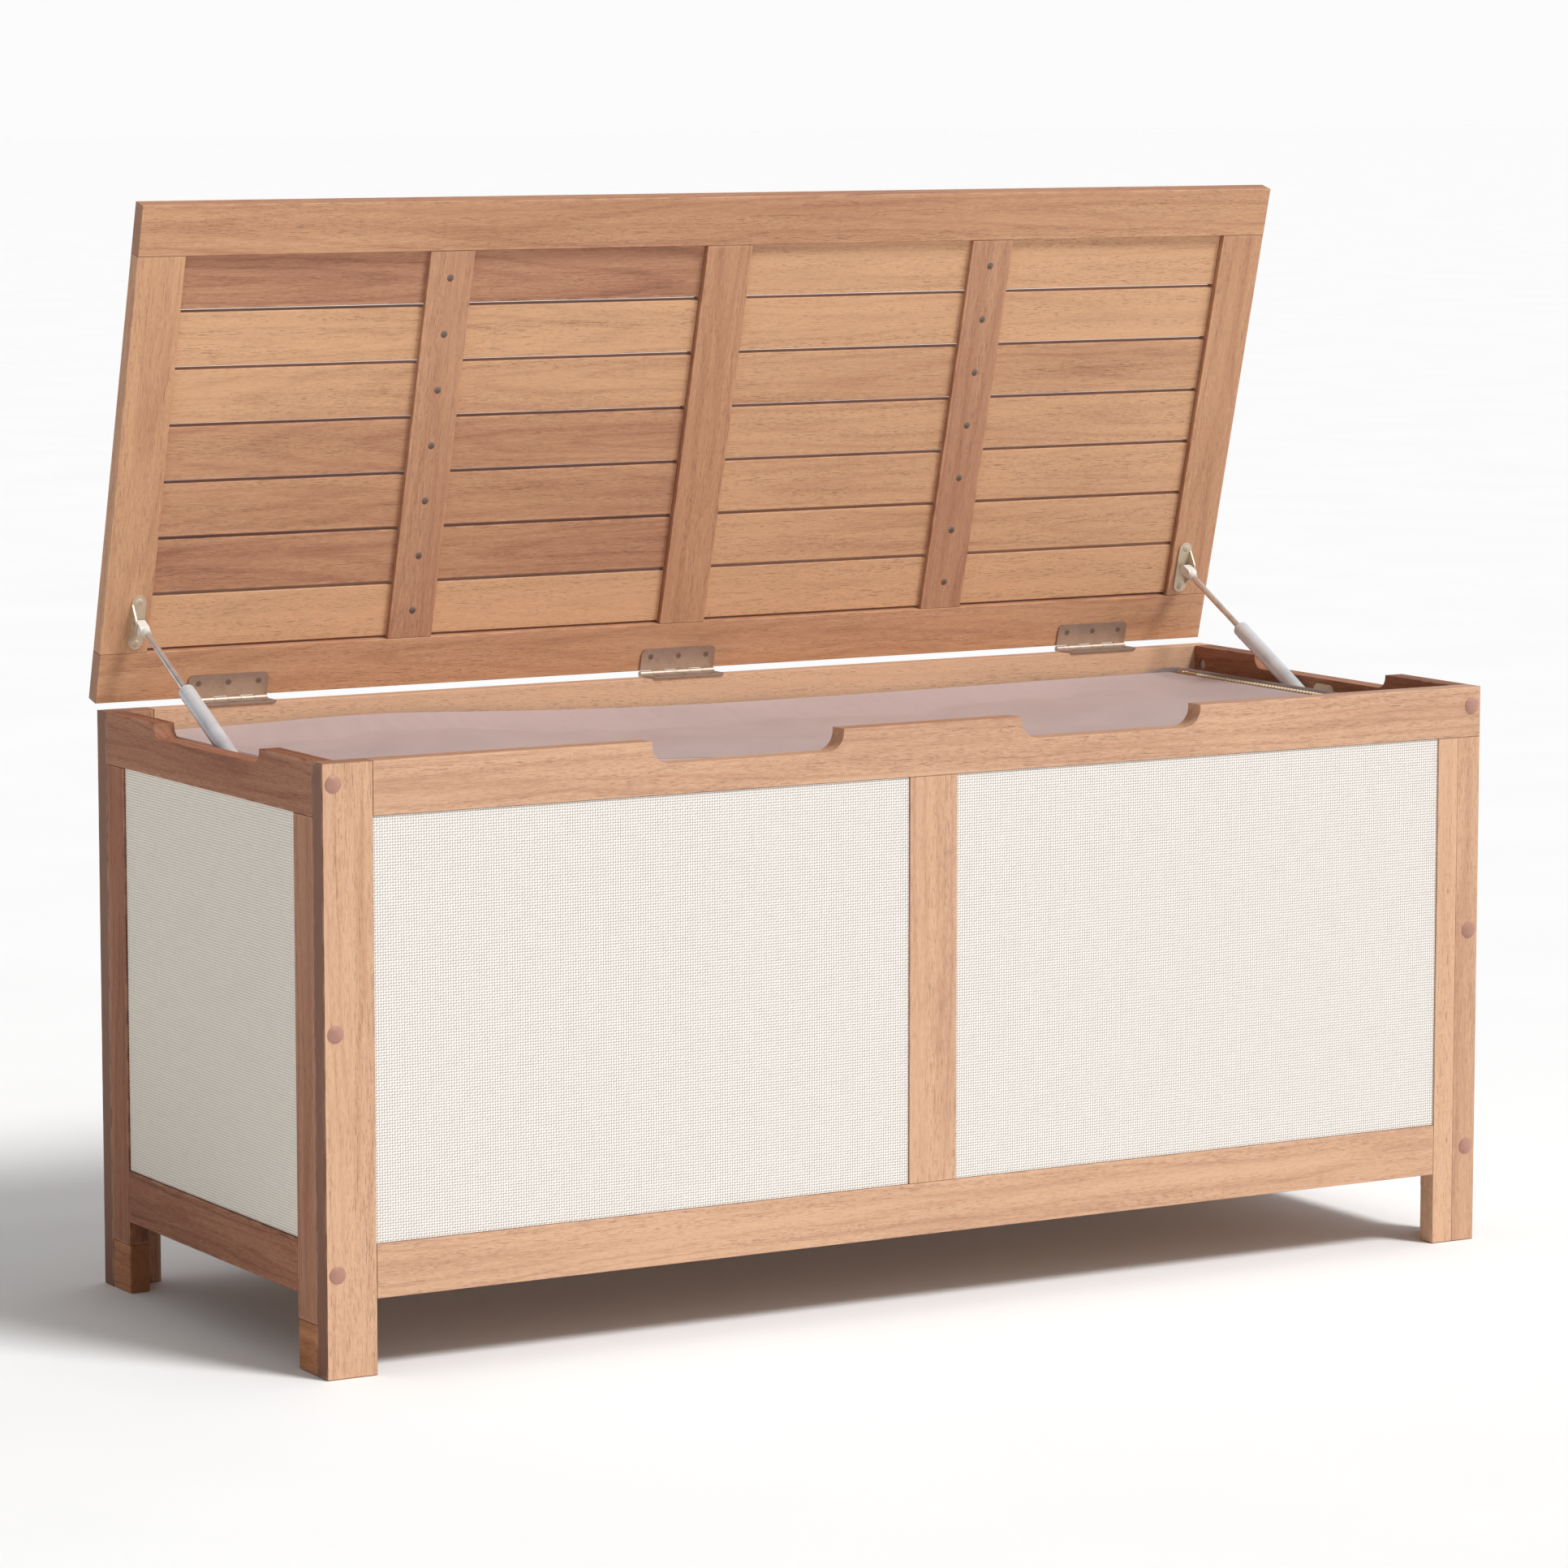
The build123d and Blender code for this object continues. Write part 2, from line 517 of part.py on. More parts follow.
TUBE_END = STRUT_LENGTH - END_LENGTH
tube = rod(on_strut(ROD_VISIBLE), on_strut(TUBE_END), TUBE_RADIUS)
tube = fillet(tube.edges().filter_by(GeomType.CIRCLE), 1.2)
bore = rod(on_strut(ROD_VISIBLE - 1), on_strut(TUBE_END - 6), ROD_RADIUS + 0.15)
tube_end_outline = RectangleRounded(22, 13, 5)
tube_plane = Plane(origin=on_strut(STRUT_LENGTH - 4), x_dir=along, z_dir=(1, 0, 0))
tube_end = Pos(-5.5, 0, 0) * extrude(tube_plane * tube_end_outline, 11)
boss = rod((LEFT_X - 7.6, *BOX_PIVOT), (LEFT_X, *BOX_PIVOT), 5)
cylinder = tube - bore
lower_fitting = (tube_end + boss) - tube
for name, piece in (("rod_end", rod_end), ("strut_rod", strut_rod),
                    ("strut_cylinder", cylinder), ("cylinder_end", lower_fitting)):
    add(f"left_{name}", piece)
    add(f"right_{name}", mirrored(piece))

# ---- screw holes in the wood, then every sub-part to its file ------------------------------
SCREWED = (
    ("batten_screws", "lid_left_slats"),
    ("batten_screws", "lid_right_slats"),
    ("hinge_box_screws", "rear_top_rail"),
    ("hinge_lid_screws", "lid_rear_rail"),
    ("strut_lid_screws", "lid_left_stile"),
    ("strut_lid_screws", "lid_right_stile"),
    ("strut_box_screws", "left_top_rail"),
    ("strut_box_screws", "right_top_rail"),
)
for screws, wood in SCREWED:
    PARTS[wood] = [piece - PARTS[screws] for piece in PARTS[wood]]

os.makedirs("parts", exist_ok=True)
for name, solids in PARTS.items():
    moved = [Pos(0, -MIDDLE_Y, 0) * solid for solid in solids]
    export_step(moved[0] if len(moved) == 1 else Compound(children=moved), f"parts/{name}.step")
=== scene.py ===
import json
import math
import random

import bpy
import numpy as np
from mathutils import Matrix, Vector, noise

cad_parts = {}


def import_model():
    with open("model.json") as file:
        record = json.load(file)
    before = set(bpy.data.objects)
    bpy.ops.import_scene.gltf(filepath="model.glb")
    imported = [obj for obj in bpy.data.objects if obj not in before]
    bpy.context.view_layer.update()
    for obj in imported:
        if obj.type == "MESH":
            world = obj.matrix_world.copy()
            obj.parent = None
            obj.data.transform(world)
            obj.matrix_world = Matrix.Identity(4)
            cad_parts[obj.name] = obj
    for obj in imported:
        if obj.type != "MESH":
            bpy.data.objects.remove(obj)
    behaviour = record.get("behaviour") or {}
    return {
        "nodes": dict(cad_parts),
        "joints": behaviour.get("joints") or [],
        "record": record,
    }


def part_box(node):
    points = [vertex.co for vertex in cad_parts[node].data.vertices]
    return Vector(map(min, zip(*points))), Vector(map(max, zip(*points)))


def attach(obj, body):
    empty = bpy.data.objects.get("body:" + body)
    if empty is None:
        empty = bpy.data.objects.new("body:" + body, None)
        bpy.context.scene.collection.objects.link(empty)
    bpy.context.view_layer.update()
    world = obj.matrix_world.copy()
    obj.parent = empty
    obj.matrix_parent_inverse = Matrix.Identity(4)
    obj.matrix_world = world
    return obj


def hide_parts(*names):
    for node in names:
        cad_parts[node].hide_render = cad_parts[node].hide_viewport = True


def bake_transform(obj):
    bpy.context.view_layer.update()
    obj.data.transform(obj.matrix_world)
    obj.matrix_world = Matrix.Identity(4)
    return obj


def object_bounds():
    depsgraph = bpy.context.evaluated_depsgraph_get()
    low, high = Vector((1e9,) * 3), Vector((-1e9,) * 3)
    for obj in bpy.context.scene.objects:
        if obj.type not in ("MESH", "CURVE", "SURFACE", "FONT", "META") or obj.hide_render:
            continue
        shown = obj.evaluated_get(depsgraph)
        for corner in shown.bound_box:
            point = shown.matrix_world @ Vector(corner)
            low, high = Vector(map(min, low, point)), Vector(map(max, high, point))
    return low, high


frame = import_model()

# Slatted-lid storage bench. Metres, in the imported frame: +X along the bench, +Y to the back.

CAD_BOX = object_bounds()
NODES = frame["nodes"]
JOINTS = {joint["name"]: joint for joint in frame["joints"]}

# ---- named sizes --------------------------------------------------------------------------
WEAVE_PITCH = 0.00245    # one crossing of the woven infill
WEAVE_RELIEF = 0.00012   # a crossing above or below the middle of the infill
PLIES = 6.2832 * 3       # three twisted plies in the width of a yarn
TWILL = 4200.0           # frequency of the fine cloth's twill, in radians per metre
RING_FREQUENCY = 820.0   # growth rings of the wood, in radians per metre
LAMINATION = 0.025       # outer strip of the laminated right-hand posts

BAG_CORNER = 0.018       # radius of the liner bag's corners, seen from above
BAG_FOOT = 0.030         # radius between its walls and its floor
BAG_STEP = 0.012         # between columns of points round the bag
CORNER_POINTS = 6        # points in a quarter turn of its corners
WALL_ROWS = 30           # rows of points down its walls,
BEND_ROWS = 5            # round its foot
FLOOR_ROWS = 13          # and over its floor, with the last one of the foot counted again
CLOTH_THICKNESS = 0.0012
BAG_SAG = 0.006          # how far its walls fall in between folds
RIM_LOW = 0.4983         # rim of the liner where it hangs lowest
RIM_LOWEST_X = 0.08      # place of that along the bench
RIM_RISE = 0.0075        # how much higher the rim is near its left end
RIM_RISE_RIGHT = 0.0025  # and near its right end
RIM_SWELL = 0.0035       # one more swell left of the middle
EDGE_STEP = 0.01         # between sections of the tape, the binding and the turned edge
ZIP_WIDTH = 0.009        # both halves of the tape together
TAPE_THICKNESS = 0.0007
ZIP_DROP = 0.014         # zip below the rim along the front and the left
ZIP_TILT = math.radians(25)  # zip on top of the rim, outer edge up
BINDING_LIFT = 0.005     # binding above the rim beside that part of the zip
SKIRT_OUT = 0.002        # turned-down edge of the flap outside the bag
TOOTH_PITCH = 0.0026     # from a tooth to the next one, which is on the other half
TOOTH_ASIDE = 0.0005     # a tooth's middle beside the zip's middle
TOOTH_LEVELS = (         # height, half width and half length of a tooth, from the tape up
    (0.0004, 0.0015, 0.00095),
    (0.0014, 0.0018, 0.00115),
    (0.0021, 0.0011, 0.0007),
)
FLAP_STEP = 0.0075       # between points of the flap
FLAP_ABOVE_RIM = 0.0012
FLAP_SLACK = 0.006       # spare length of the flap between its seams
FLAP_FALL = 0.013        # lowest that the flap may hang under its edges
FLAP_LIFT = 0.004        # highest that it may rise
FLAP_SHIFT = 0.003       # furthest that a point may move sideways as the flap falls
FALL_FRAMES = 24         # length of the cloth simulation

CAMERA_PLACE = (-2.7375, -4.6843, 1.1246)
CAMERA_PITCH = 7.137     # degrees below level
CAMERA_YAW = 30.176      # degrees from +Y towards +X
CAMERA_LENS = 136.19     # millimetres on a 36 mm frame

SEAM_DOWN = 0.009        # seam ring below the end of a strut's tube
SEAM_POINTS = 48         # sections round the ring
SEAM_PROFILE = ((-0.0005, -0.0002), (-0.0003, 0.00022), (0.0003, 0.00022), (0.0005, -0.0002))

SUN_STRENGTH = 2.4
SUN_SOFTNESS = 16        # degrees across
SUN_HEIGHT = 50          # degrees above the floor
SUN_TURN = 30            # degrees from straight ahead towards +X
SKY_LEVEL = 0.42         # strength of the sky straight ahead
SKY_SIDE = 0.26          # how much brighter it is to the right
HORIZON_LEVEL = 0.97     # strength at the horizon, close to the floor's own brightness
FLOOR_REACH = 60
FLOOR_DROP = 0.0003      # floor below the feet


def smooth(low, high, value):
    """Smooth step from 0 at low to 1 at high."""
    t = min(1.0, max(0.0, (value - low) / (high - low)))
    return t * t * (3 - 2 * t)


# ---- node trees ---------------------------------------------------------------------------
class Finish:
    """One procedural material, and short ways to add nodes to it."""

    def __init__(self, name):
        self.material = bpy.data.materials.new(name)
        self.material.use_nodes = True
        self.tree = self.material.node_tree
        self.shader = self.tree.nodes["Principled BSDF"]

    def plug(self, value, socket):
        if isinstance(value, bpy.types.NodeSocket):
            self.tree.links.new(value, socket)
        else:
            socket.default_value = value

    def add(self, kind, inputs, output=0, **settings):
        node = self.tree.nodes.new("ShaderNode" + kind)
        for key, value in settings.items():
            setattr(node, key, value)
        for key, value in inputs.items():
            self.plug(value, node.inputs[key])
        return node.outputs[output]

    def math(self, operation, *values):
        return self.add("Math", dict(enumerate(values)), operation=operation)

    def vector(self, operation, *values):
        return self.add("VectorMath", dict(enumerate(values)), operation=operation)

    def attribute(self, name):
        return self.add("Attribute", {}, output=1, attribute_name=name)

    def split(self, vector):
        node = self.tree.nodes.new("ShaderNodeSeparateXYZ")
        self.plug(vector, node.inputs[0])
        return node.outputs

    def noise(self, vector, scale=1.0, detail=2.0, roughness=0.5):
        return self.add("TexNoise", {"Vector": vector, "Scale": scale, "Detail": detail,
                                     "Roughness": roughness})

    def streaks(self, vector, stretch, detail=2.0):
        """Noise with its own frequency along each axis."""
        return self.noise(self.vector("MULTIPLY", vector, stretch), detail=detail)

    def step(self, value, low, high):
        return self.add("MapRange", {"Value": value, "From Min": low, "From Max": high},
                        interpolation_type="SMOOTHSTEP")

    def span(self, value, low, high):
        """A 0 to 1 value spread from low to high."""
        return self.add("MapRange", {"Value": value, "To Min": low, "To Max": high})

    def mix(self, factor, first, second):
        return self.add("Mix", {0: factor, 6: first, 7: second}, output=2, data_type="RGBA")

    def ramp(self, value, stops):
        node = self.tree.nodes.new("ShaderNodeValToRGB")
        elements = node.color_ramp.elements
        while len(elements) < len(stops):
            elements.new(0.5)
        for element, (place, colour) in zip(elements, stops):
            element.position = place
            element.color = (*colour, 1)
        self.plug(value, node.inputs[0])
        return node.outputs[0]

    def bump(self, height, distance, strength=1.0):
        normal = self.add("Bump", {"Height": height, "Distance": distance, "Strength": strength})
        self.plug(normal, self.shader.inputs["Normal"])

    def set(self, **values):
        """Set or link the shader's own sockets; underscores in names stand for spaces."""
        for key, value in values.items():
            self.plug(value, self.shader.inputs[key.replace("_", " ")])


def shade(colour, factor):
    return tuple(channel * factor for channel in colour)


# ---- wood ---------------------------------------------------------------------------------
def wood(name, deep, pale, roughness=0.5, edge=0.38, sheen=0.32):
    """Oiled hardwood. A board's tone runs from 0, deep, to 1, pale; edge sets the painted shade
    on its sides.
    """
    f = Finish(name)
    grain = f.attribute("grain")
    tone, seed, figure = f.split(f.attribute("board"))
    offset = f.vector("MULTIPLY", f.add("CombineXYZ", {0: seed, 1: seed, 2: seed}),
                      (7.31, 3.17, 5.71))
    place = f.vector("ADD", grain, offset)
    along, across, through = f.split(grain)

    drift = f.math("SUBTRACT", f.streaks(place, (2.6, 14, 14)), 0.5)
    middle = f.math("ADD", across, f.math("MULTIPLY", drift, 0.05))
    slope = f.math("MULTIPLY", along, f.math("MULTIPLY", figure, 0.075))
    depth = f.math("ADD", f.math("ADD", through, 0.024), slope)
    radius = f.math("SQRT", f.math("ADD", f.math("POWER", middle, 2.0),
                                   f.math("POWER", depth, 2.0)))
    waver = f.math("MULTIPLY", f.streaks(place, (5, 60, 60)), 2.6)
    wave = f.math("SINE", f.math("ADD", f.math("MULTIPLY", radius, RING_FREQUENCY), waver))
    ring = f.math("POWER", f.span(wave, 0.25, 0.75), 2.0)

    gap = f.vector("SUBTRACT", f.attribute("half"), f.vector("ABSOLUTE", grain))
    end_gap, side_gap, face_gap = f.split(gap)
    # Side faces of every board: painted shade, its strength set by edge.
    side_face_shade = f.step(side_gap, 0.0005, 0.0002)

    fibre = f.streaks(place, (30, 1000, 1000), detail=4)
    fleck = f.streaks(place, (120, 620, 620), detail=2)
    streak = f.streaks(place, (2.4, 75, 75), detail=4)
    cloud = f.streaks(place, (3.5, 13, 13))
    level = tone
    for part, weight in ((streak, 0.95), (fibre, 0.75), (fleck, 0.6), (cloud, 0.75)):
        level = f.math("ADD", level, f.math("MULTIPLY", f.math("SUBTRACT", part, 0.5), weight))
    level = f.math("SUBTRACT", level, f.math("MULTIPLY", ring, 0.42))
    # Painted shade on the boards' side faces.
    level = f.math("SUBTRACT", level, f.math("MULTIPLY", side_face_shade, edge))
    colour = f.ramp(f.math("ADD", f.math("MULTIPLY", level, 0.5), 0.3), (
        (0.0, shade(deep, 0.55)),
        (0.22, deep),
        (0.74, pale),
        (1.0, shade(pale, 1.12)),
    ))

    crowd = f.step(f.streaks(place, (4, 90, 90)), 0.35, 0.65)
    long_pore = f.step(f.streaks(place, (75, 1300, 1300), detail=1), 0.6, 0.7)
    short_pore = f.step(f.streaks(place, (190, 1500, 1500), detail=1), 0.58, 0.7)
    pore = f.math("MULTIPLY", f.math("MAXIMUM", long_pore, f.math("MULTIPLY", short_pore, 0.8)),
                  f.span(crowd, 0.4, 1.0))
    colour = f.mix(f.math("MULTIPLY", pore, 0.48), colour, (*shade(deep, 0.42), 1))

    # Edges where two faces meet, paler in patches: partly wear, partly a painted highlight.
    pair = f.math("MINIMUM", end_gap, side_gap)
    second = f.math("MAXIMUM", pair, f.math("MINIMUM", f.math("MAXIMUM", end_gap, side_gap),
                                            face_gap))
    worn_and_highlit_edge = f.math("MULTIPLY", f.step(second, 0.0035, 0.0006),
                    f.step(f.noise(place, 45, 3), 0.4, 0.62))
    colour = f.mix(f.math("MULTIPLY", worn_and_highlit_edge, 0.3), colour, (*shade(pale, 1.15), 1))
    end = f.step(end_gap, 0.0009, 0.0004)
    speck = f.noise(place, 900, 2)
    colour = f.mix(f.math("MULTIPLY", end, f.span(speck, 0.45, 0.95)), colour,
                   (*shade(deep, 0.62), 1))

    gloss = f.math("SUBTRACT", f.span(streak, roughness - 0.08, roughness + 0.14),
                   f.math("MULTIPLY", worn_and_highlit_edge, 0.1))
    height = f.math("SUBTRACT", f.math("MULTIPLY", fibre, 0.5), pore)
    f.bump(f.math("ADD", height, f.math("MULTIPLY", ring, 0.25)), 0.00025, 0.55)
    f.set(Base_Color=colour, Roughness=gloss, IOR=1.47, Specular_IOR_Level=sheen)
    return f.material


# ---- woven and sewn cloth -----------------------------------------------------------------
def woven(name, yarn, gap):
    """Coarse plain weave of coated yarn. The weave attribute counts crossings; gap is the colour
    of the painted shade in the holes between yarns.
    """
    f = Finish(name)
    weave = f.attribute("weave")
    u, v, _ = f.split(weave)
    from_u, from_v = (
        f.math("MULTIPLY", f.math("ABSOLUTE", f.math("SUBTRACT", f.math("FRACT", run), 0.5)), 2.0)
        for run in (u, v)
    )
    cells = f.math("ADD", f.math("FLOOR", u), f.math("FLOOR", v))
    warp = f.math("MODULO", f.math("ABSOLUTE", cells), 2.0)

    # Holes between the yarns: painted shade.
    pit_shade = f.math("MULTIPLY", f.step(from_u, 0.45, 0.9), f.step(from_v, 0.45, 0.9))
    over_u = f.math("SUBTRACT", 1.0, f.math("POWER", from_u, 2.0))
    over_v = f.math("SUBTRACT", 1.0, f.math("POWER", from_v, 2.0))
    crown = f.add("Mix", {0: warp, 2: over_u, 3: over_v}, data_type="FLOAT")
    across_yarn = f.add("Mix", {0: warp, 2: u, 3: v}, data_type="FLOAT")
    plies = f.math("SINE", f.math("MULTIPLY", across_yarn, PLIES))
    tint = f.noise(f.vector("MULTIPLY", weave, (0.11, 0.9, 1)), 1.0, 2)
    tint_two = f.noise(f.vector("MULTIPLY", weave, (0.9, 0.11, 1)), 1.0, 2)
    shift = f.math("MULTIPLY", f.math("ADD", tint, tint_two), 0.5)
    # Yarn crowns paler and flanks darker: painted highlight and shade across each yarn.
    level = f.math("ADD", f.math("MULTIPLY", shift, 0.7), f.math("MULTIPLY", crown, 0.3))
    colour = f.ramp(level, (
        (0.2, shade(yarn, 0.84)),
        (0.6, yarn),
        (0.9, shade(yarn, 1.06)),
    ))
    colour = f.mix(f.math("MULTIPLY", pit_shade, 0.9), colour, (*gap, 1))
    height = f.math("ADD", crown, f.math("MULTIPLY", plies, 0.12))
    f.bump(f.math("SUBTRACT", height, f.math("MULTIPLY", pit_shade, 1.2)), 0.0005, 0.8)
    f.set(Base_Color=colour, Roughness=f.span(shift, 0.5, 0.7), Specular_IOR_Level=0.3,
          Sheen_Weight=0.08)
    return f.material


def cloth(name, colour, contrast=1.0):
    """Light plain cloth. The weave attribute is in metres along and across the cloth."""
    f = Finish(name)
    weave = f.attribute("weave")
    u, v, _ = f.split(weave)
    ribs = f.math("SINE", f.math("MULTIPLY", f.math("ADD", u, v), TWILL))
    cross = f.math("SINE", f.math("MULTIPLY", f.math("SUBTRACT", u, v), TWILL))
    twill = f.math("MULTIPLY", ribs, cross)
    cloud = f.noise(weave, 9.0, 4)
    slub = f.streaks(weave, (40, 900, 1), detail=2)
    level = f.math("ADD", f.math("MULTIPLY", cloud, 0.65), f.math("MULTIPLY", slub, 0.35))
    tinted = f.ramp(f.math("ADD", level, f.math("MULTIPLY", twill, 0.05)), (
        (0.25, shade(colour, 1 - 0.24 * contrast)),
        (0.5, colour),
        (0.78, shade(colour, 1 + 0.14 * contrast)),
    ))
    crease = f.noise(weave, 26.0, 5, 0.6)
    f.bump(f.math("ADD", f.math("MULTIPLY", twill, 0.06), crease), 0.0022, 0.5)
    f.set(Base_Color=tinted, Roughness=f.span(cloud, 0.68, 0.88), Specular_IOR_Level=0.22,
          Sheen_Weight=0.25, Sheen_Roughness=0.45)
    return f.material


# ---- metal and plastic --------------------------------------------------------------------
def metal(name, colour, roughness, brushed=(400, 400, 400), metallic=1.0, wear=0.25):
    """Satin or polished metal with fine drawing marks and a little wear."""
    f = Finish(name)
    place = f.attribute("local")
    marks = f.streaks(place, brushed, detail=3)
    patch = f.noise(place, 60, 4)
    worn = f.step(f.noise(place, 210, 4, 0.65), 0.56, 0.72)
    level = f.math("ADD", f.math("MULTIPLY", marks, 0.5), f.math("MULTIPLY", patch, 0.5))
    tinted = f.ramp(level, (
        (0.3, shade(colour, 0.8)),
        (0.5, colour),
        (0.75, shade(colour, 1.12)),
    ))
    tinted = f.mix(f.math("MULTIPLY", worn, wear), tinted, (*shade(colour, 0.62), 1))
    gloss = f.math("ADD", f.span(marks, roughness * 0.75, roughness * 1.3),
                   f.math("MULTIPLY", worn, wear * 0.4))
    f.bump(marks, 0.00006, 0.5)
    f.set(Base_Color=tinted, Metallic=metallic, Roughness=gloss)
    return f.material


def plastic(name, colour, roughness):
    """Moulded plastic with a fine spark-eroded grain."""
    f = Finish(name)
    place = f.attribute("local")
    speckle = f.noise(place, 2600, 2)
    cloud = f.noise(place, 130, 3)
    level = f.math("ADD", f.math("MULTIPLY", speckle, 0.3), f.math("MULTIPLY", cloud, 0.7))
    tinted = f.ramp(level, (
        (0.3, shade(colour, 0.86)),
        (0.52, colour),
        (0.75, shade(colour, 1.1)),
    ))
    f.bump(speckle, 0.00008, 0.5)
    f.set(Base_Color=tinted, Roughness=f.span(cloud, roughness - 0.07, roughness + 0.1),
          Specular_IOR_Level=0.45)
    return f.material


WOODS = {
    "frame_wood": wood("frame_wood", (0.4, 0.185, 0.115), (0.66, 0.405, 0.255), 0.48),
    "lid_wood": wood("lid_wood", (0.43, 0.195, 0.11), (0.68, 0.385, 0.215), 0.5),
    "slat_wood": wood("slat_wood", (0.44, 0.205, 0.12), (0.7, 0.405, 0.225), 0.5),
    "batten_wood": wood("batten_wood", (0.44, 0.205, 0.12), (0.66, 0.375, 0.22), 0.54),
    "foot_wood": wood("foot_wood", (0.34, 0.125, 0.052), (0.66, 0.32, 0.155), 0.55, sheen=0.15),
    "inner_wood": wood("inner_wood", (0.42, 0.22, 0.13), (0.66, 0.42, 0.26), 0.6),
}
# Left posts: frame wood with strong painted shade on their side faces.
SHADED_POST_WOOD = wood("shaded_post_wood", (0.4, 0.175, 0.1), (0.66, 0.405, 0.255), 0.48, edge=1.6, sheen=0.22)
# Darker, duller copy of frame_wood for both side frames: painted shade for the shade that falls
# on the left side.
SHADED_SIDE_WOOD = wood("shaded_side_wood", (0.33, 0.135, 0.078), (0.56, 0.31, 0.19), 0.55, sheen=0.1)
MESH_CLOTH = woven("mesh", (0.888, 0.836, 0.779), (0.3, 0.25, 0.21))
# Paler copy of the mesh for the side panels: painted light that lifts them in the dimmer light on
# the sides.
LIT_SIDE_MESH_CLOTH = woven("side_mesh", (0.97, 0.89, 0.78), (0.38, 0.31, 0.24))
LINER_CLOTH = cloth("liner_fabric", (0.5, 0.385, 0.37), contrast=0.5)
BINDING_CLOTH = cloth("liner_binding", (0.3, 0.235, 0.225), contrast=1.3)
TAPE_CLOTH = cloth("zip_tape", (0.24, 0.19, 0.175), contrast=1.6)
ZIP_PLASTIC = plastic("zip_teeth", (0.84, 0.67, 0.45), 0.4)
HARD = {
    "zip_metal": metal("zip_metal", (0.7, 0.47, 0.22), 0.34),
    "hinge_metal": metal("hinge_metal", (0.47, 0.365, 0.295), 0.5, (90, 1600, 1600)),
    "dark_screw": metal("dark_screw", (0.21, 0.155, 0.12), 0.42, wear=0.1, metallic=0.5),
    "bracket_metal": metal("bracket_metal", (0.66, 0.55, 0.41), 0.5, (1200, 150, 150),
                           metallic=0.55),
    "strut_tube": metal("strut_tube", (0.64, 0.64, 0.66), 0.34, (40, 40, 40), metallic=0.2,
                        wear=0.08),
    "strut_rod": metal("strut_rod", (0.74, 0.72, 0.7), 0.2, (60, 60, 60), wear=0.05,
                       metallic=0.8),
    "bolt_steel": metal("bolt_steel", (0.55, 0.55, 0.54), 0.35),
    "cap_plastic": plastic("cap_plastic", (0.43, 0.22, 0.165), 0.34),
    "strut_fitting": plastic("strut_fitting", (0.78, 0.73, 0.67), 0.45),
}
# Hinge screws darker than the hinge: painted shade for the dark rings in their countersunk holes.
SHADED_HINGE_SCREW = metal("hinge_screw", (0.24, 0.17, 0.13), 0.45, wear=0.1, metallic=0.6)


# ---- attributes on the CAD meshes ---------------------------------------------------------
def points_of(mesh):
    flat = np.empty(len(mesh.vertices) * 3)
    mesh.vertices.foreach_get("co", flat)
    return flat.reshape(-1, 3)


def store(mesh, name, values):
    """Write one vector for each vertex as a mesh attribute."""
    layer = mesh.attributes.new(name, "FLOAT_VECTOR", "POINT")
    layer.data.foreach_set("vector", np.asarray(values, dtype=np.float32).ravel())


def closed_lid(points):
    """Lid points as they lie with the lid closed, so that a board's sides follow the axes."""
    hinge = JOINTS["lid_hinge"]
    angle = math.radians(-hinge["range_deg"][0])
    _, pin_y, pin_z = hinge["pos_m"]
    y, z = points[:, 1] - pin_y, points[:, 2] - pin_z
    turned = points.copy()
    turned[:, 1] = pin_y + y * math.cos(angle) - z * math.sin(angle)
    turned[:, 2] = pin_z + y * math.sin(angle) + z * math.cos(angle)
    return turned


def groups(mesh, points, glue=True):
    """Vertices joined by edges, and with glue also those in one place, as index arrays."""
    parent = list(range(len(points)))

    def root(item):
        while parent[item] != item:
            parent[item] = parent[parent[item]]
            item = parent[item]
        return item

    for edge in mesh.edges:
        parent[root(edge.vertices[0])] = root(edge.vertices[1])
    if glue:
        places = {}
        for index, key in enumerate(map(tuple, np.round(points, 5))):
            parent[root(index)] = root(places.setdefault(key, index))
    found = {}
    for index in range(len(points)):
        found.setdefault(root(index), []).append(index)
    return [np.array(group) for group in found.values()]


def boards_of(name, mesh, points):
    """The boards in a node, in order from the front, or from the top of the open lid."""
    if name.endswith("right_post"):
        seam = points[:, 0].max() - LAMINATION
        halves = [[], []]
        for group in groups(mesh, points, glue=False):
            halves[int(points[group, 0].mean() > seam)].append(group)
        return [np.concatenate(half) for half in halves]
    found = groups(mesh, points)
    return sorted(found, key=lambda group: tuple(np.round(points[group].mean(axis=0)[[1, 0]], 3)))


# How pale each board is, from 0 to 1, in the order of boards_of. The lower slats and rear rail of
# the open lid are set paler: painted light that lifts the shade near the box.
TONES = {
    "lid_left_slats": (0.05, 0.95, 0.88, 0.36, 0.4, 0.16, 1.2),
    "lid_right_slats": (0.9, 1.02, 0.76, 0.9, 0.93, 0.84, 1.15),
    "lid_front_rail": (0.5,),
    "lid_rear_rail": (0.62,),
    "lid_left_stile": (0.84,),
    "lid_right_stile": (0.52,),
    "lid_mullion": (0.42,),
    "lid_battens": (0.36, 0.4),
    "front_left_post": (0.86,),
    "front_right_post": (1.08, 0.66),
    "front_top_rail": (0.66,),
    "front_bottom_rail": (0.8,),
    "front_mullion": (0.86,),
    "left_top_rail": (0.1,),
    "left_bottom_rail": (-0.1,),
    "left_front_stile": (0.4,),
    "left_rear_stile": (0.0,),
    "rear_left_post": (0.3,),
    "rear_top_rail": (1.25,),
    "right_top_rail": (0.1,),
    "foot_blocks": (0.2, 0.6, 0.2, 0.6),
}
BOLD_FIGURE = {"lid_rear_rail": 1.0, "lid_left_slats": 0.95, "lid_left_stile": 0.9}
UPRIGHT_AXIS = {"foot_blocks": 1}        # nodes whose grain doesn't run along the longest side


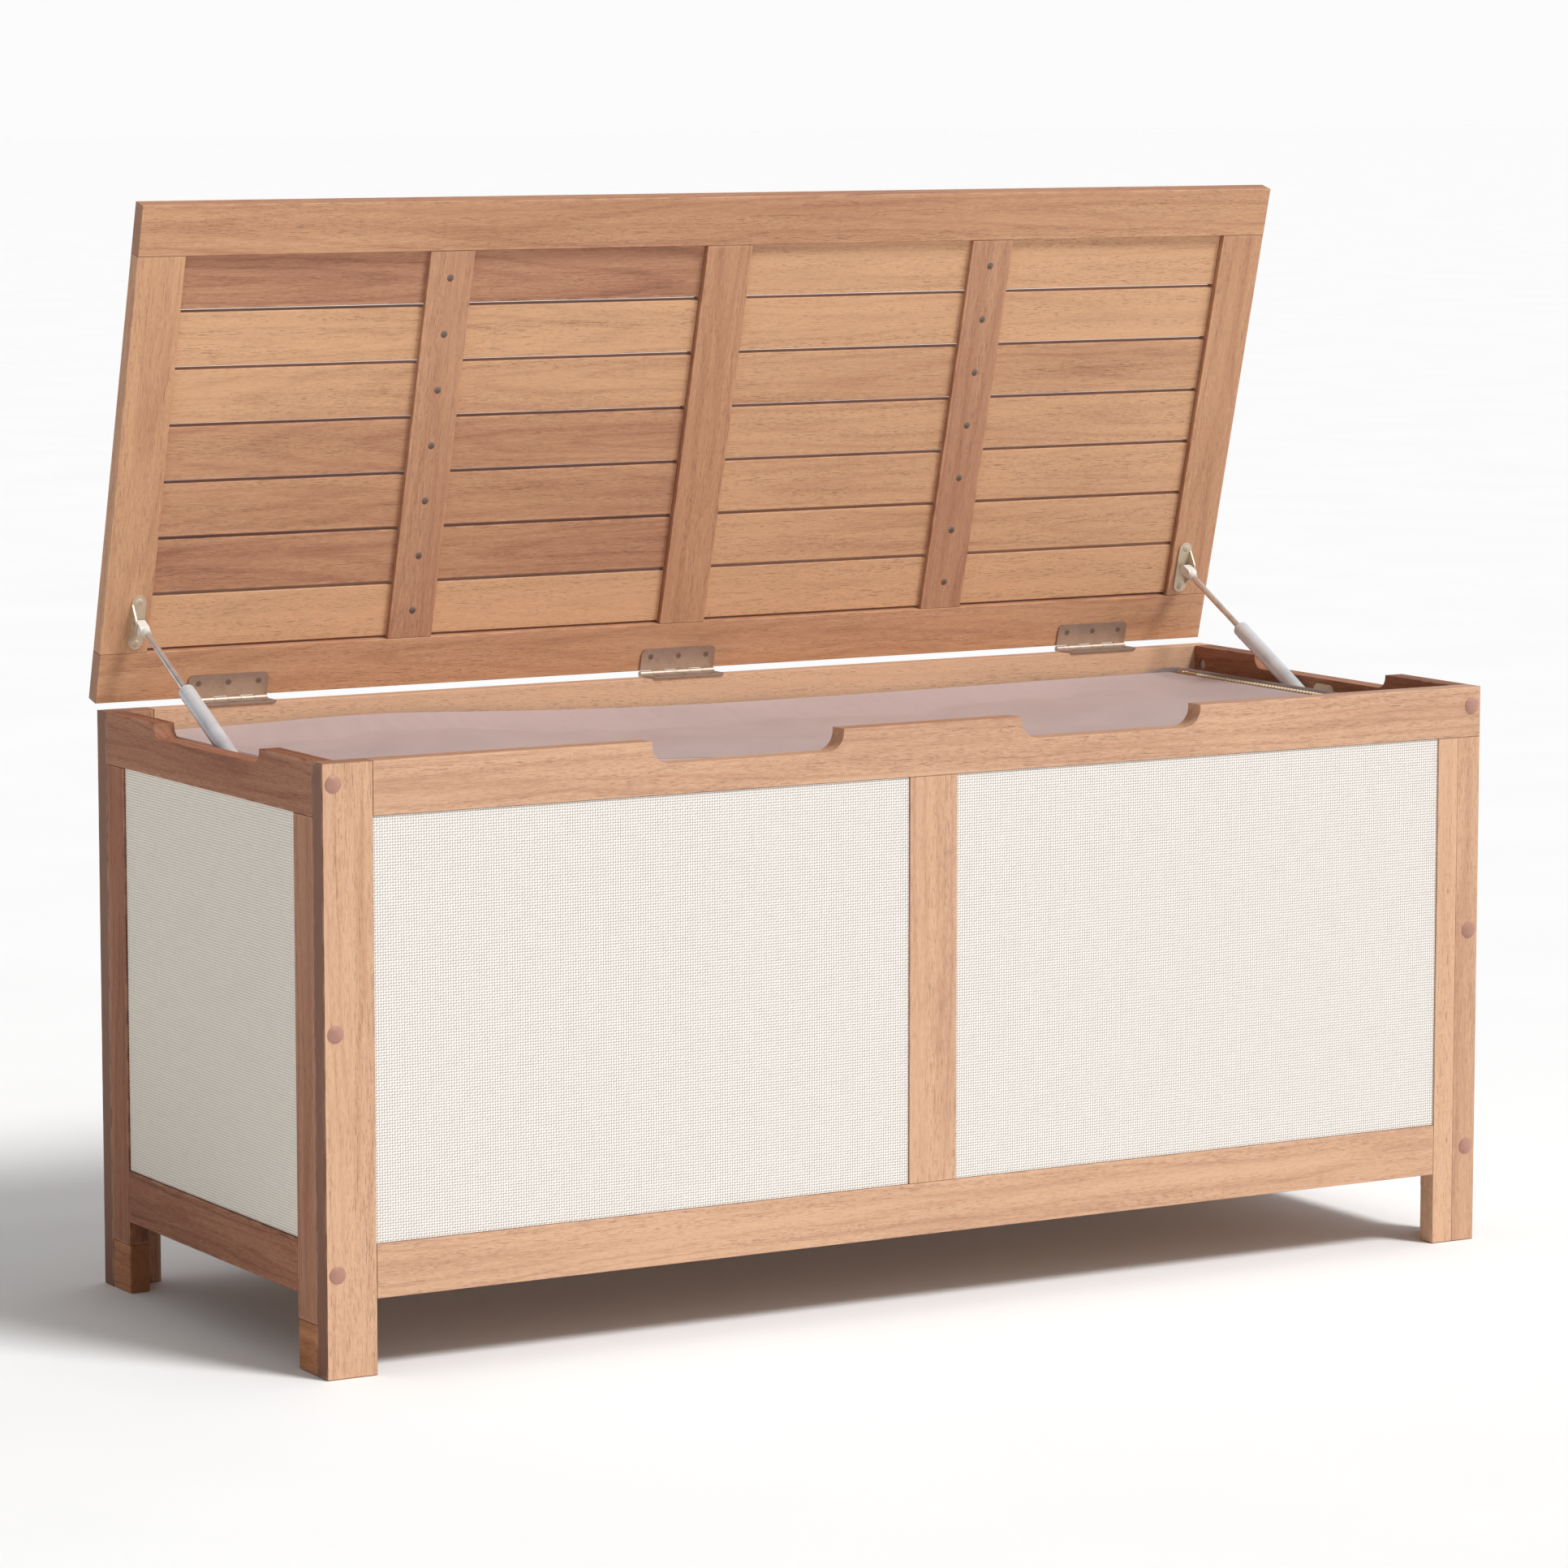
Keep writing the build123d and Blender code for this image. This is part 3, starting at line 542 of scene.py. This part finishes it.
def lay_grain(name, obj):
    """Give every board of a node its own grain direction, tone and figure."""
    mesh = obj.data
    points = points_of(mesh)
    if name.startswith("lid_"):
        points = closed_lid(points)
    draw = random.Random(name)
    grain, half, board = (np.zeros_like(points) for _ in range(3))
    boards = boards_of(name, mesh, points)
    tones = TONES.get(name) or [draw.uniform(0.35, 0.85) for _ in boards]
    for group, tone in zip(boards, tones):
        low, high = points[group].min(axis=0), points[group].max(axis=0)
        order = list(np.argsort(low - high))
        if name in UPRIGHT_AXIS:
            order.remove(UPRIGHT_AXIS[name])
            order.insert(0, UPRIGHT_AXIS[name])
        grain[group] = (points[group] - (low + high) / 2)[:, order]
        half[group] = ((high - low) / 2)[order]
        figure = BOLD_FIGURE.get(name, 0.4) * draw.choice((-1, 1)) * draw.uniform(0.5, 1)
        board[group] = (tone, draw.uniform(1, 9), figure)
    store(mesh, "grain", grain)
    store(mesh, "half", half)
    store(mesh, "board", board)


def wood_for(name, slot_name):
    """Finish of a wooden node; the side frames and the left posts' side faces get painted shade.
    """
    if name.endswith("_left_post"):
        return SHADED_POST_WOOD
    if slot_name == "frame_wood" and name.startswith(("left_", "right_")):
        return SHADED_SIDE_WOOD
    return WOODS[slot_name]


def dress_cad():
    """Give every CAD node that stays visible its material and the attributes it reads."""
    slots = {part["node"]: part["material_slot"] for part in frame["record"]["subparts"]}
    for name, obj in NODES.items():
        slot_name = slots[name]
        if slot_name in WOODS:
            lay_grain(name, obj)
            obj.data.materials[0] = wood_for(name, slot_name)
        elif slot_name in HARD:
            points = points_of(obj.data)
            store(obj.data, "local", points - points.mean(axis=0))
            hinge_screws = name in ("hinge_lid_screws", "hinge_box_screws")
            obj.data.materials[0] = SHADED_HINGE_SCREW if hinge_screws else HARD[slot_name]


# ---- mesh pieces --------------------------------------------------------------------------
def piece(name, vertices, faces, material, weave=None, body="root"):
    """A new mesh piece on a body, smooth, with its material, slot and weave coordinates."""
    mesh = bpy.data.meshes.new(name)
    mesh.from_pydata([tuple(vertex) for vertex in vertices], [], faces)
    mesh.shade_smooth()
    mesh.materials.append(material)
    if weave is not None:
        store(mesh, "weave", weave)
    obj = bpy.data.objects.new(name, mesh)
    bpy.context.scene.collection.objects.link(obj)
    if body:
        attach(obj, body)
    return obj


def grid_faces(columns, rows, wrap=False):
    """Quads between rows of points; wrap joins the last column to the first."""
    faces = []
    for row in range(rows - 1):
        for column in range(columns if wrap else columns - 1):
            after = (column + 1) % columns
            low, high = row * columns, (row + 1) * columns
            faces.append((low + column, low + after, high + after, high + column))
    return faces


def ring_faces(count, closed, first=0):
    """Quads between rings of four corners, numbered from first; closed joins the ends up."""
    faces = []
    for ring in range(count if closed else count - 1):
        here, after = first + 4 * ring, first + 4 * ((ring + 1) % count)
        for corner in range(4):
            turn = (corner + 1) % 4
            faces.append((here + corner, here + turn, after + turn, after + corner))
    return faces


def woven_panel(node, flat_axis, outward, material):
    """Stretched woven infill with real relief at each crossing, in place of the CAD panel."""
    low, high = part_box(node)
    across = 0 if flat_axis == 1 else 1
    columns = round((high[across] - low[across]) / WEAVE_PITCH) + 1
    rows = round((high[2] - low[2]) / WEAVE_PITCH) + 1
    face = high[flat_axis] if outward > 0 else low[flat_axis]
    base = face - outward * 2 * WEAVE_RELIEF
    vertices, weave = [], []
    for row in range(rows):
        for column in range(columns):
            point = [0.0, 0.0, low[2] + (high[2] - low[2]) * row / (rows - 1)]
            point[across] = low[across] + (high[across] - low[across]) * column / (columns - 1)
            relief = WEAVE_RELIEF if (row + column) % 2 else -WEAVE_RELIEF
            slack = 0.4 * WEAVE_RELIEF * noise.noise(Vector(point) * 9)
            point[flat_axis] = base + outward * (relief + slack)
            vertices.append(point)
            weave.append((column + 0.5, row + 0.5, flat_axis))
    faces = grid_faces(columns, rows)
    if (flat_axis == 1) == (outward > 0):
        faces = [face[::-1] for face in faces]
    sheet = piece(node + "_weave", vertices, faces, material, weave)
    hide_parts(node)


BAG_LOW, BAG_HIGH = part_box("liner_bag")
BAG_HALF_X = (BAG_HIGH[0] - BAG_LOW[0]) / 2
BAG_HALF_Y = (BAG_HIGH[1] - BAG_LOW[1]) / 2
BAG_MIDDLE_Y = (BAG_HIGH[1] + BAG_LOW[1]) / 2


def rim_height(x):
    """Height of the liner's rim along the bench: it hangs lower past the middle."""
    away = smooth(0.0, 0.5, abs(x - RIM_LOWEST_X))
    swell = math.exp(-((x + 0.33) / 0.12) ** 2)
    rise = RIM_RISE if x < RIM_LOWEST_X else RIM_RISE_RIGHT
    return RIM_LOW + rise * away + RIM_SWELL * swell


def bag_loop(step):
    """Points round the bag as seen from above, with the way outwards at each."""
    half_x, half_y = BAG_HALF_X - BAG_CORNER, BAG_HALF_Y - BAG_CORNER
    loop = []
    corners = ((half_x, half_y, 0), (-half_x, half_y, 90), (-half_x, -half_y, 180),
               (half_x, -half_y, 270))
    for number, (x, y, start) in enumerate(corners):
        for index in range(CORNER_POINTS):
            turn = math.radians(start + 90 * index / (CORNER_POINTS - 1))
            way = Vector((math.cos(turn), math.sin(turn)))
            loop.append((Vector((x, y)) + way * BAG_CORNER, way))
        next_x, next_y, _ = corners[(number + 1) % 4]
        way = loop[-1][1]
        first = loop[-1][0]
        last = Vector((next_x, next_y)) + way * BAG_CORNER
        count = max(1, round((last - first).length / step))
        for index in range(1, count):
            loop.append((first.lerp(last, index / count), way))
    return [(Vector((point.x, point.y + BAG_MIDDLE_Y)), way) for point, way in loop]


def rim_frame(point, way):
    """The rim above a point of the loop, with the ways outwards and up."""
    rim = Vector((point.x, point.y, rim_height(point.x)))
    return rim, Vector((way.x, way.y, 0)), Vector((0, 0, 1))


def bag_wall(point, way, drop, depth):
    """Where a wall point hangs: inwards between soft upright folds, most in the middle."""
    hang = math.sin(math.pi * min(1.0, drop / depth)) ** 0.7
    run = point.x * 3 + point.y * 5
    fold = noise.noise(Vector((run * 3.1, drop * 2.2, 3.7)))
    crease = noise.noise(Vector((run * 11, drop * 7 + run, 8.1)))
    inward = BAG_SAG * hang * (0.75 + 0.9 * fold + 0.35 * crease)
    return point - way * max(0.0, inward)


def bag_walls(loop):
    """Rows of points from the rim to the top of the foot, with weave coordinates."""
    foot = BAG_LOW[2] + BAG_FOOT
    depth = BAG_HIGH[2] - foot
    length = [0.0]
    for (point, _), (after, _) in zip(loop, loop[1:]):
        length.append(length[-1] + (after - point).length)
    rings, weave = [], []
    for row in range(WALL_ROWS):
        part = row / (WALL_ROWS - 1)
        for (point, way), run in zip(loop, length):
            top = rim_height(point.x)
            place = bag_wall(point, way, part * depth, depth)
            rings.append((place.x, place.y, top + (foot - top) * part))
            weave.append((run, part * depth, 0))
    return rings, weave


def bag_floor(loop):
    """Rows of points round the foot and in over the floor, with weave coordinates."""
    foot = BAG_LOW[2] + BAG_FOOT
    rings, weave = [], []
    for row in range(1, BEND_ROWS + FLOOR_ROWS):
        if row <= BEND_ROWS:
            turn = math.pi / 2 * row / BEND_ROWS
            inset = BAG_FOOT * (1 - math.cos(turn))
            z = foot - BAG_FOOT * math.sin(turn)
        else:
            span = BAG_HALF_Y - BAG_FOOT - 0.004
            inset = BAG_FOOT + span * (row - BEND_ROWS) / (FLOOR_ROWS - 1)
            z = BAG_LOW[2]
        for point, _ in loop:
            near_x = max(-BAG_HALF_X + inset, min(BAG_HALF_X - inset, point.x))
            away = point.y - BAG_MIDDLE_Y
            near_y = BAG_MIDDLE_Y + max(-BAG_HALF_Y + inset, min(BAG_HALF_Y - inset, away))
            ripple = 0.0012 * (1 + noise.noise(Vector((near_x * 14, near_y * 14, 2.2))))
            rings.append((near_x, near_y, z + (ripple if row > BEND_ROWS else 0)))
            weave.append((near_x, near_y, 1))
    return rings, weave


def liner_bag():
    """Sewn bag: walls that hang from the rim, rounded foot and a floor lying on the slats."""
    loop = bag_loop(BAG_STEP)
    wall_points, wall_weave = bag_walls(loop)
    floor_points, floor_weave = bag_floor(loop)
    faces = grid_faces(len(loop), WALL_ROWS + BEND_ROWS + FLOOR_ROWS - 1, wrap=True)
    bag = piece("liner_bag_shell", wall_points + floor_points, faces, LINER_CLOTH,
                wall_weave + floor_weave)
    merge = bag.modifiers.new("weld", "WELD")
    merge.merge_threshold = 0.0006
    thick = bag.modifiers.new("cloth_thickness", "SOLIDIFY")
    thick.thickness = CLOTH_THICKNESS
    thick.offset = 1
    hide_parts("liner_bag")


# ---- zip and binding ----------------------------------------------------------------------
def zip_line(step):
    """The zip's middle from the left rear round the front: place, across, up and rim point.

    Along the right it lies on top of the rim; along the front and the left it is on the
    wall under the flap's turned-down edge. Across points to the bag's half of the zip.
    """
    loop = bag_loop(step)
    zipped = [way.y < 0.2 for _, way in loop]
    first = next(index for index in range(len(loop)) if zipped[index] and not zipped[index - 1])
    line = []
    for index in range(sum(zipped)):
        point, way = loop[(first + index) % len(loop)]
        rim, out, up = rim_frame(point, way)
        on_top = smooth(BAG_HALF_X - 0.10, BAG_HALF_X - 0.01, point.x)
        turn = math.radians(90) * (1 - on_top) - ZIP_TILT * on_top
        across = out * math.cos(turn) - up * math.sin(turn)
        away = up * math.cos(turn) + out * math.sin(turn)
        top_place = rim - out * ZIP_WIDTH / 2 + up * 0.001
        wall_place = rim + out * 0.0005 - up * (ZIP_DROP + ZIP_WIDTH / 2)
        line.append((wall_place.lerp(top_place, on_top), across, away, rim))
    return line


def strip(name, sections, material, closed=False):
    """Closed flat strip through four-cornered sections, with weave coordinates."""
    vertices, weave, run = [], [], 0.0
    previous = sections[0][0]
    for section in sections:
        run += (section[0] - previous).length
        previous = section[0]
        side = 0.0
        for corner, place in enumerate(section):
            side += (place - section[corner - 1]).length if corner else 0.0
            vertices.append(tuple(place))
            weave.append((run, side, 2))
    count = len(sections)
    faces = ring_faces(count, closed)
    if not closed:
        faces += [(3, 2, 1, 0), tuple(4 * (count - 1) + corner for corner in range(4))]
    return piece(name, vertices, faces, material, weave, body=None)


def zip_tape(name, near, far, material):
    """Half of the zip's tape, between two distances from its middle."""
    sections = [
        (place + across * near, place + across * near + up * TAPE_THICKNESS,
         place + across * far + up * TAPE_THICKNESS, place + across * far)
        for place, across, up, _ in zip_line(EDGE_STEP)
    ]
    return strip(name, sections, material)


def zip_teeth(name, side, start):
    """Every other moulded tooth along the zip, set off to one side of its middle."""
    vertices, faces = [], []
    for place, across, up, _ in zip_line(TOOTH_PITCH)[start::2]:
        run = across.cross(up)
        first = len(vertices)
        for height, wide, long in TOOTH_LEVELS:
            for a, b in ((-1, -1), (1, -1), (1, 1), (-1, 1)):
                corner = across * (side * TOOTH_ASIDE + a * wide) + run * b * long + up * height
                vertices.append(tuple(place + corner))
        faces += ring_faces(len(TOOTH_LEVELS), False, first)
        faces += [tuple(first + 8 + corner for corner in range(4)),
                  tuple(first + 3 - corner for corner in range(4))]
    obj = piece(name, vertices, faces, ZIP_PLASTIC, body=None)
    store(obj.data, "local", vertices)
    return obj


def follow_flap(obj):
    """Bake a piece's placement into its mesh; the piece is not bent at the flap's rear edge."""
    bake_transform(obj)


def turned_edge():
    """The flap's edge, turned down over the rim as far as the zip lies on the wall."""
    sections = []
    for place, across, up, rim in zip_line(EDGE_STEP):
        if across.z > -0.9:
            break
        top = rim + up * SKIRT_OUT + Vector((0, 0, 0.001))
        low = place - across * ZIP_WIDTH / 2 + up * (SKIRT_OUT - 0.0005)
        sections.append((low, low + up * 0.0008, top + up * 0.0004, top - up * 0.0012))
    return strip("flap_turned_edge", sections, LINER_CLOTH)


def rim_binding():
    """Binding sewn over the bag's rim all round, raised beside the zip on the right."""
    sections = []
    for point, way in bag_loop(EDGE_STEP):
        rim, out, up = rim_frame(point, way)
        lift = 0.0008 + BINDING_LIFT * smooth(BAG_HALF_X - 0.05, BAG_HALF_X - 0.003, point.x)
        sections.append((rim + out * 0.0011 - up * 0.008, rim + out * 0.0011 + up * lift,
                         rim - out * 0.0006 + up * lift, rim - out * 0.0006 - up * 0.008))
    return strip("liner_binding", sections, BINDING_CLOTH, closed=True)


def zip_and_binding():
    """Both halves of the zip, the flap's turned-down edge and the binding of the bag's rim."""
    half = ZIP_WIDTH / 2
    bag_tape = zip_tape("zip_tape_bag", 0.0006, half - 0.0004, TAPE_CLOTH)
    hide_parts("liner_zip")
    flap_tape = zip_tape("zip_tape_flap", -0.0006, -half - 0.001, LINER_CLOTH)
    bag_teeth = zip_teeth("zip_teeth_bag", 1, 0)
    flap_teeth = zip_teeth("zip_teeth_flap", -1, 1)
    skirt = turned_edge()
    binding = rim_binding()
    for part in (bag_tape, bag_teeth, binding):
        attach(part, "root")
    for part in (flap_tape, flap_teeth, skirt):
        follow_flap(part)


# ---- flap ---------------------------------------------------------------------------------
def flap_start(columns, rows):
    """Flat-sewn start of the flap, from its turned edge to the zip and the rear seam."""
    left, right = -BAG_HALF_X - SKIRT_OUT, BAG_HALF_X - ZIP_WIDTH - 0.0004
    front, rear = BAG_LOW[1] - SKIRT_OUT, BAG_HIGH[1] - 0.0015
    centre = Vector((left + BAG_CORNER, front + BAG_CORNER))
    vertices = []
    for row in range(rows):
        y = front + (rear - front) * row / (rows - 1)
        for column in range(columns):
            x = left + (right - left) * column / (columns - 1)
            place = Vector((x, y))
            if x < centre.x and y < centre.y and (place - centre).length > BAG_CORNER:
                place = centre + (place - centre).normalized() * BAG_CORNER
            to_seam = min(place.x - left, right - place.x, place.y - front, rear - place.y)
            ripple = noise.noise(Vector((x * 9 + y * 4, y * 6, 1.3)))
            ripple += 0.5 * noise.noise(Vector((x * 21 - y * 9, y * 17, 5.9)))
            rise = 0.004 * smooth(0.0, 0.03, to_seam) * ripple
            vertices.append((place.x, place.y, rim_height(place.x) + FLAP_ABOVE_RIM + rise))
    return vertices


def let_fall(obj, edge, slack):
    """Cloth simulation under gravity with the edges sewn down; the result becomes the mesh."""
    group = obj.vertex_groups.new(name="sewn")
    group.add(edge, 1.0, "REPLACE")
    start = points_of(obj.data)
    cloth_modifier = obj.modifiers.new("fall", "CLOTH")
    settings = cloth_modifier.settings
    settings.quality = 6
    settings.mass = 0.25
    settings.tension_stiffness = 28
    settings.compression_stiffness = 22
    settings.shear_stiffness = 8
    settings.bending_stiffness = 0.35
    settings.shrink_min = -slack
    settings.vertex_group_mass = "sewn"
    settings.air_damping = 3
    cloth_modifier.collision_settings.use_collision = False
    cloth_modifier.collision_settings.use_self_collision = False
    cloth_modifier.point_cache.frame_end = FALL_FRAMES
    scene = bpy.context.scene
    for number in range(1, FALL_FRAMES + 1):
        scene.frame_set(number)
    graph = bpy.context.evaluated_depsgraph_get()
    fallen = points_of(obj.evaluated_get(graph).data)
    obj.modifiers.remove(cloth_modifier)
    obj.vertex_groups.remove(group)
    scene.frame_set(1)
    moved = fallen - start
    fallen[:, :2] = start[:, :2] + np.clip(moved[:, :2], -FLAP_SHIFT, FLAP_SHIFT)
    fallen[:, 2] = start[:, 2] + np.clip(moved[:, 2], -FLAP_FALL, FLAP_LIFT)
    obj.data.vertices.foreach_set("co", fallen.ravel())
    obj.data.update()


def liner_flap():
    """Zipped top of the liner: light cloth sewn round its edges, hanging a little slack."""
    width = 2 * BAG_HALF_X + SKIRT_OUT - ZIP_WIDTH
    depth = 2 * BAG_HALF_Y + SKIRT_OUT
    columns, rows = round(width / FLAP_STEP) + 1, round(depth / FLAP_STEP) + 1
    vertices = flap_start(columns, rows)
    weave = [(x, y, 3) for x, y, _ in vertices]
    flap = piece("liner_flap_cloth", vertices, grid_faces(columns, rows), LINER_CLOTH,
                 weave, body=None)
    edge = [row * columns + column for row in range(rows) for column in range(columns)
            if row in (0, rows - 1) or column in (0, columns - 1)]
    let_fall(flap, edge, FLAP_SLACK)
    flap.modifiers.new("fine", "SUBSURF").levels = 1
    flap.modifiers["fine"].render_levels = 1
    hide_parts("liner_flap")
    follow_flap(flap)


# ---- struts -------------------------------------------------------------------------------
def tube_seam(side):
    """Crimped seam ring a little below the upper end of a strut's tube."""
    back = Vector(JOINTS[side + "_cylinder_slide"]["axis"])
    points = points_of(NODES[side + "_strut_cylinder"].data)
    along = points @ np.array(back)
    sign = 1 if points[along.argmax()][2] > points[along.argmin()][2] else -1
    axis = back * sign
    top = (points @ np.array(axis)).max()
    middle = Vector(points.mean(axis=0))
    middle += axis * (top - SEAM_DOWN - middle.dot(axis))
    radius = (points[:, 0].max() - points[:, 0].min()) / 2
    beside = Vector((1, 0, 0))
    upward = axis.cross(beside)
    vertices = []
    for index in range(SEAM_POINTS):
        turn = 2 * math.pi * index / SEAM_POINTS
        out = beside * math.cos(turn) + upward * math.sin(turn)
        vertices += [tuple(middle + axis * shift + out * (radius + rise))
                     for shift, rise in SEAM_PROFILE]
    ring = piece(side + "_tube_seam", vertices, ring_faces(SEAM_POINTS, True),
                 HARD["strut_fitting"], body=side + "_cylinder")
    store(ring.data, "local", vertices)


# ---- floor, light and camera --------------------------------------------------------------
def floor():
    """Large pale studio floor."""
    f = Finish("studio_floor")
    place = f.add("NewGeometry", {})
    mottle = f.noise(place, 3.0, 4)
    tone = f.ramp(mottle, ((0.3, (0.965, 0.965, 0.965)), (0.7, (0.985, 0.985, 0.985))))
    f.set(Base_Color=tone, Roughness=f.span(mottle, 0.75, 0.9), Specular_IOR_Level=0.2)
    mesh = bpy.data.meshes.new("studio_floor")
    level = CAD_BOX[0][2] - FLOOR_DROP
    corners = [(x * FLOOR_REACH, y * FLOOR_REACH, level)
               for x, y in ((-1, -1), (1, -1), (1, 1), (-1, 1))]
    mesh.from_pydata(corners, [], [(0, 1, 2, 3)])
    mesh.materials.append(f.material)
    obj = bpy.data.objects.new("studio_floor", mesh)
    bpy.context.scene.collection.objects.link(obj)


def sun():
    """Broad soft key light from the front, above and to the right."""
    data = bpy.data.lights.new("key", "SUN")
    data.energy = SUN_STRENGTH
    data.angle = math.radians(SUN_SOFTNESS)
    obj = bpy.data.objects.new("key", data)
    obj.rotation_euler = (math.radians(90 - SUN_HEIGHT), 0, math.radians(SUN_TURN))
    bpy.context.scene.collection.objects.link(obj)


def world():
    """Pale surroundings, brightest near the horizon where they meet the floor."""
    surroundings = bpy.data.worlds.new("studio")
    surroundings.use_nodes = True
    tree = surroundings.node_tree
    back = tree.nodes["Background"]
    coordinates = tree.nodes.new("ShaderNodeTexCoord")
    parts = tree.nodes.new("ShaderNodeSeparateXYZ")
    tree.links.new(coordinates.outputs["Generated"], parts.inputs[0])
    height = tree.nodes.new("ShaderNodeMapRange")
    height.interpolation_type = "SMOOTHSTEP"
    tree.links.new(parts.outputs[2], height.inputs["Value"])
    height.inputs["From Min"].default_value = 0.06
    height.inputs["From Max"].default_value = 0.2
    height.inputs["To Min"].default_value = HORIZON_LEVEL
    sideways = tree.nodes.new("ShaderNodeMath")
    sideways.operation = "MULTIPLY_ADD"
    tree.links.new(parts.outputs[0], sideways.inputs[0])
    sideways.inputs[1].default_value = SKY_SIDE
    sideways.inputs[2].default_value = SKY_LEVEL
    tree.links.new(sideways.outputs[0], height.inputs["To Max"])
    tree.links.new(height.outputs[0], back.inputs["Strength"])
    back.inputs["Color"].default_value = (1, 1, 1, 1)
    bpy.context.scene.world = surroundings


def light_and_camera():
    sun()
    world()
    data = bpy.data.cameras.new("camera")
    data.lens = CAMERA_LENS
    data.clip_end = 200
    camera = bpy.data.objects.new("camera", data)
    camera.location = CAMERA_PLACE
    camera.rotation_euler = (math.radians(90 - CAMERA_PITCH), 0, math.radians(-CAMERA_YAW))
    bpy.context.scene.collection.objects.link(camera)
    bpy.context.scene.camera = camera
    bpy.context.scene.view_settings.view_transform = "Standard"


# ---- making -------------------------------------------------------------------------------
dress_cad()
for side, outward in (("front", -1), ("rear", 1)):
    woven_panel(side + "_left_mesh", 1, outward, MESH_CLOTH)
    woven_panel(side + "_right_mesh", 1, outward, MESH_CLOTH)
for side, outward in (("left", -1), ("right", 1)):
    woven_panel(side + "_side_mesh", 0, outward, LIT_SIDE_MESH_CLOTH)
    tube_seam(side)
liner_bag()
zip_and_binding()
liner_flap()
floor()
light_and_camera()
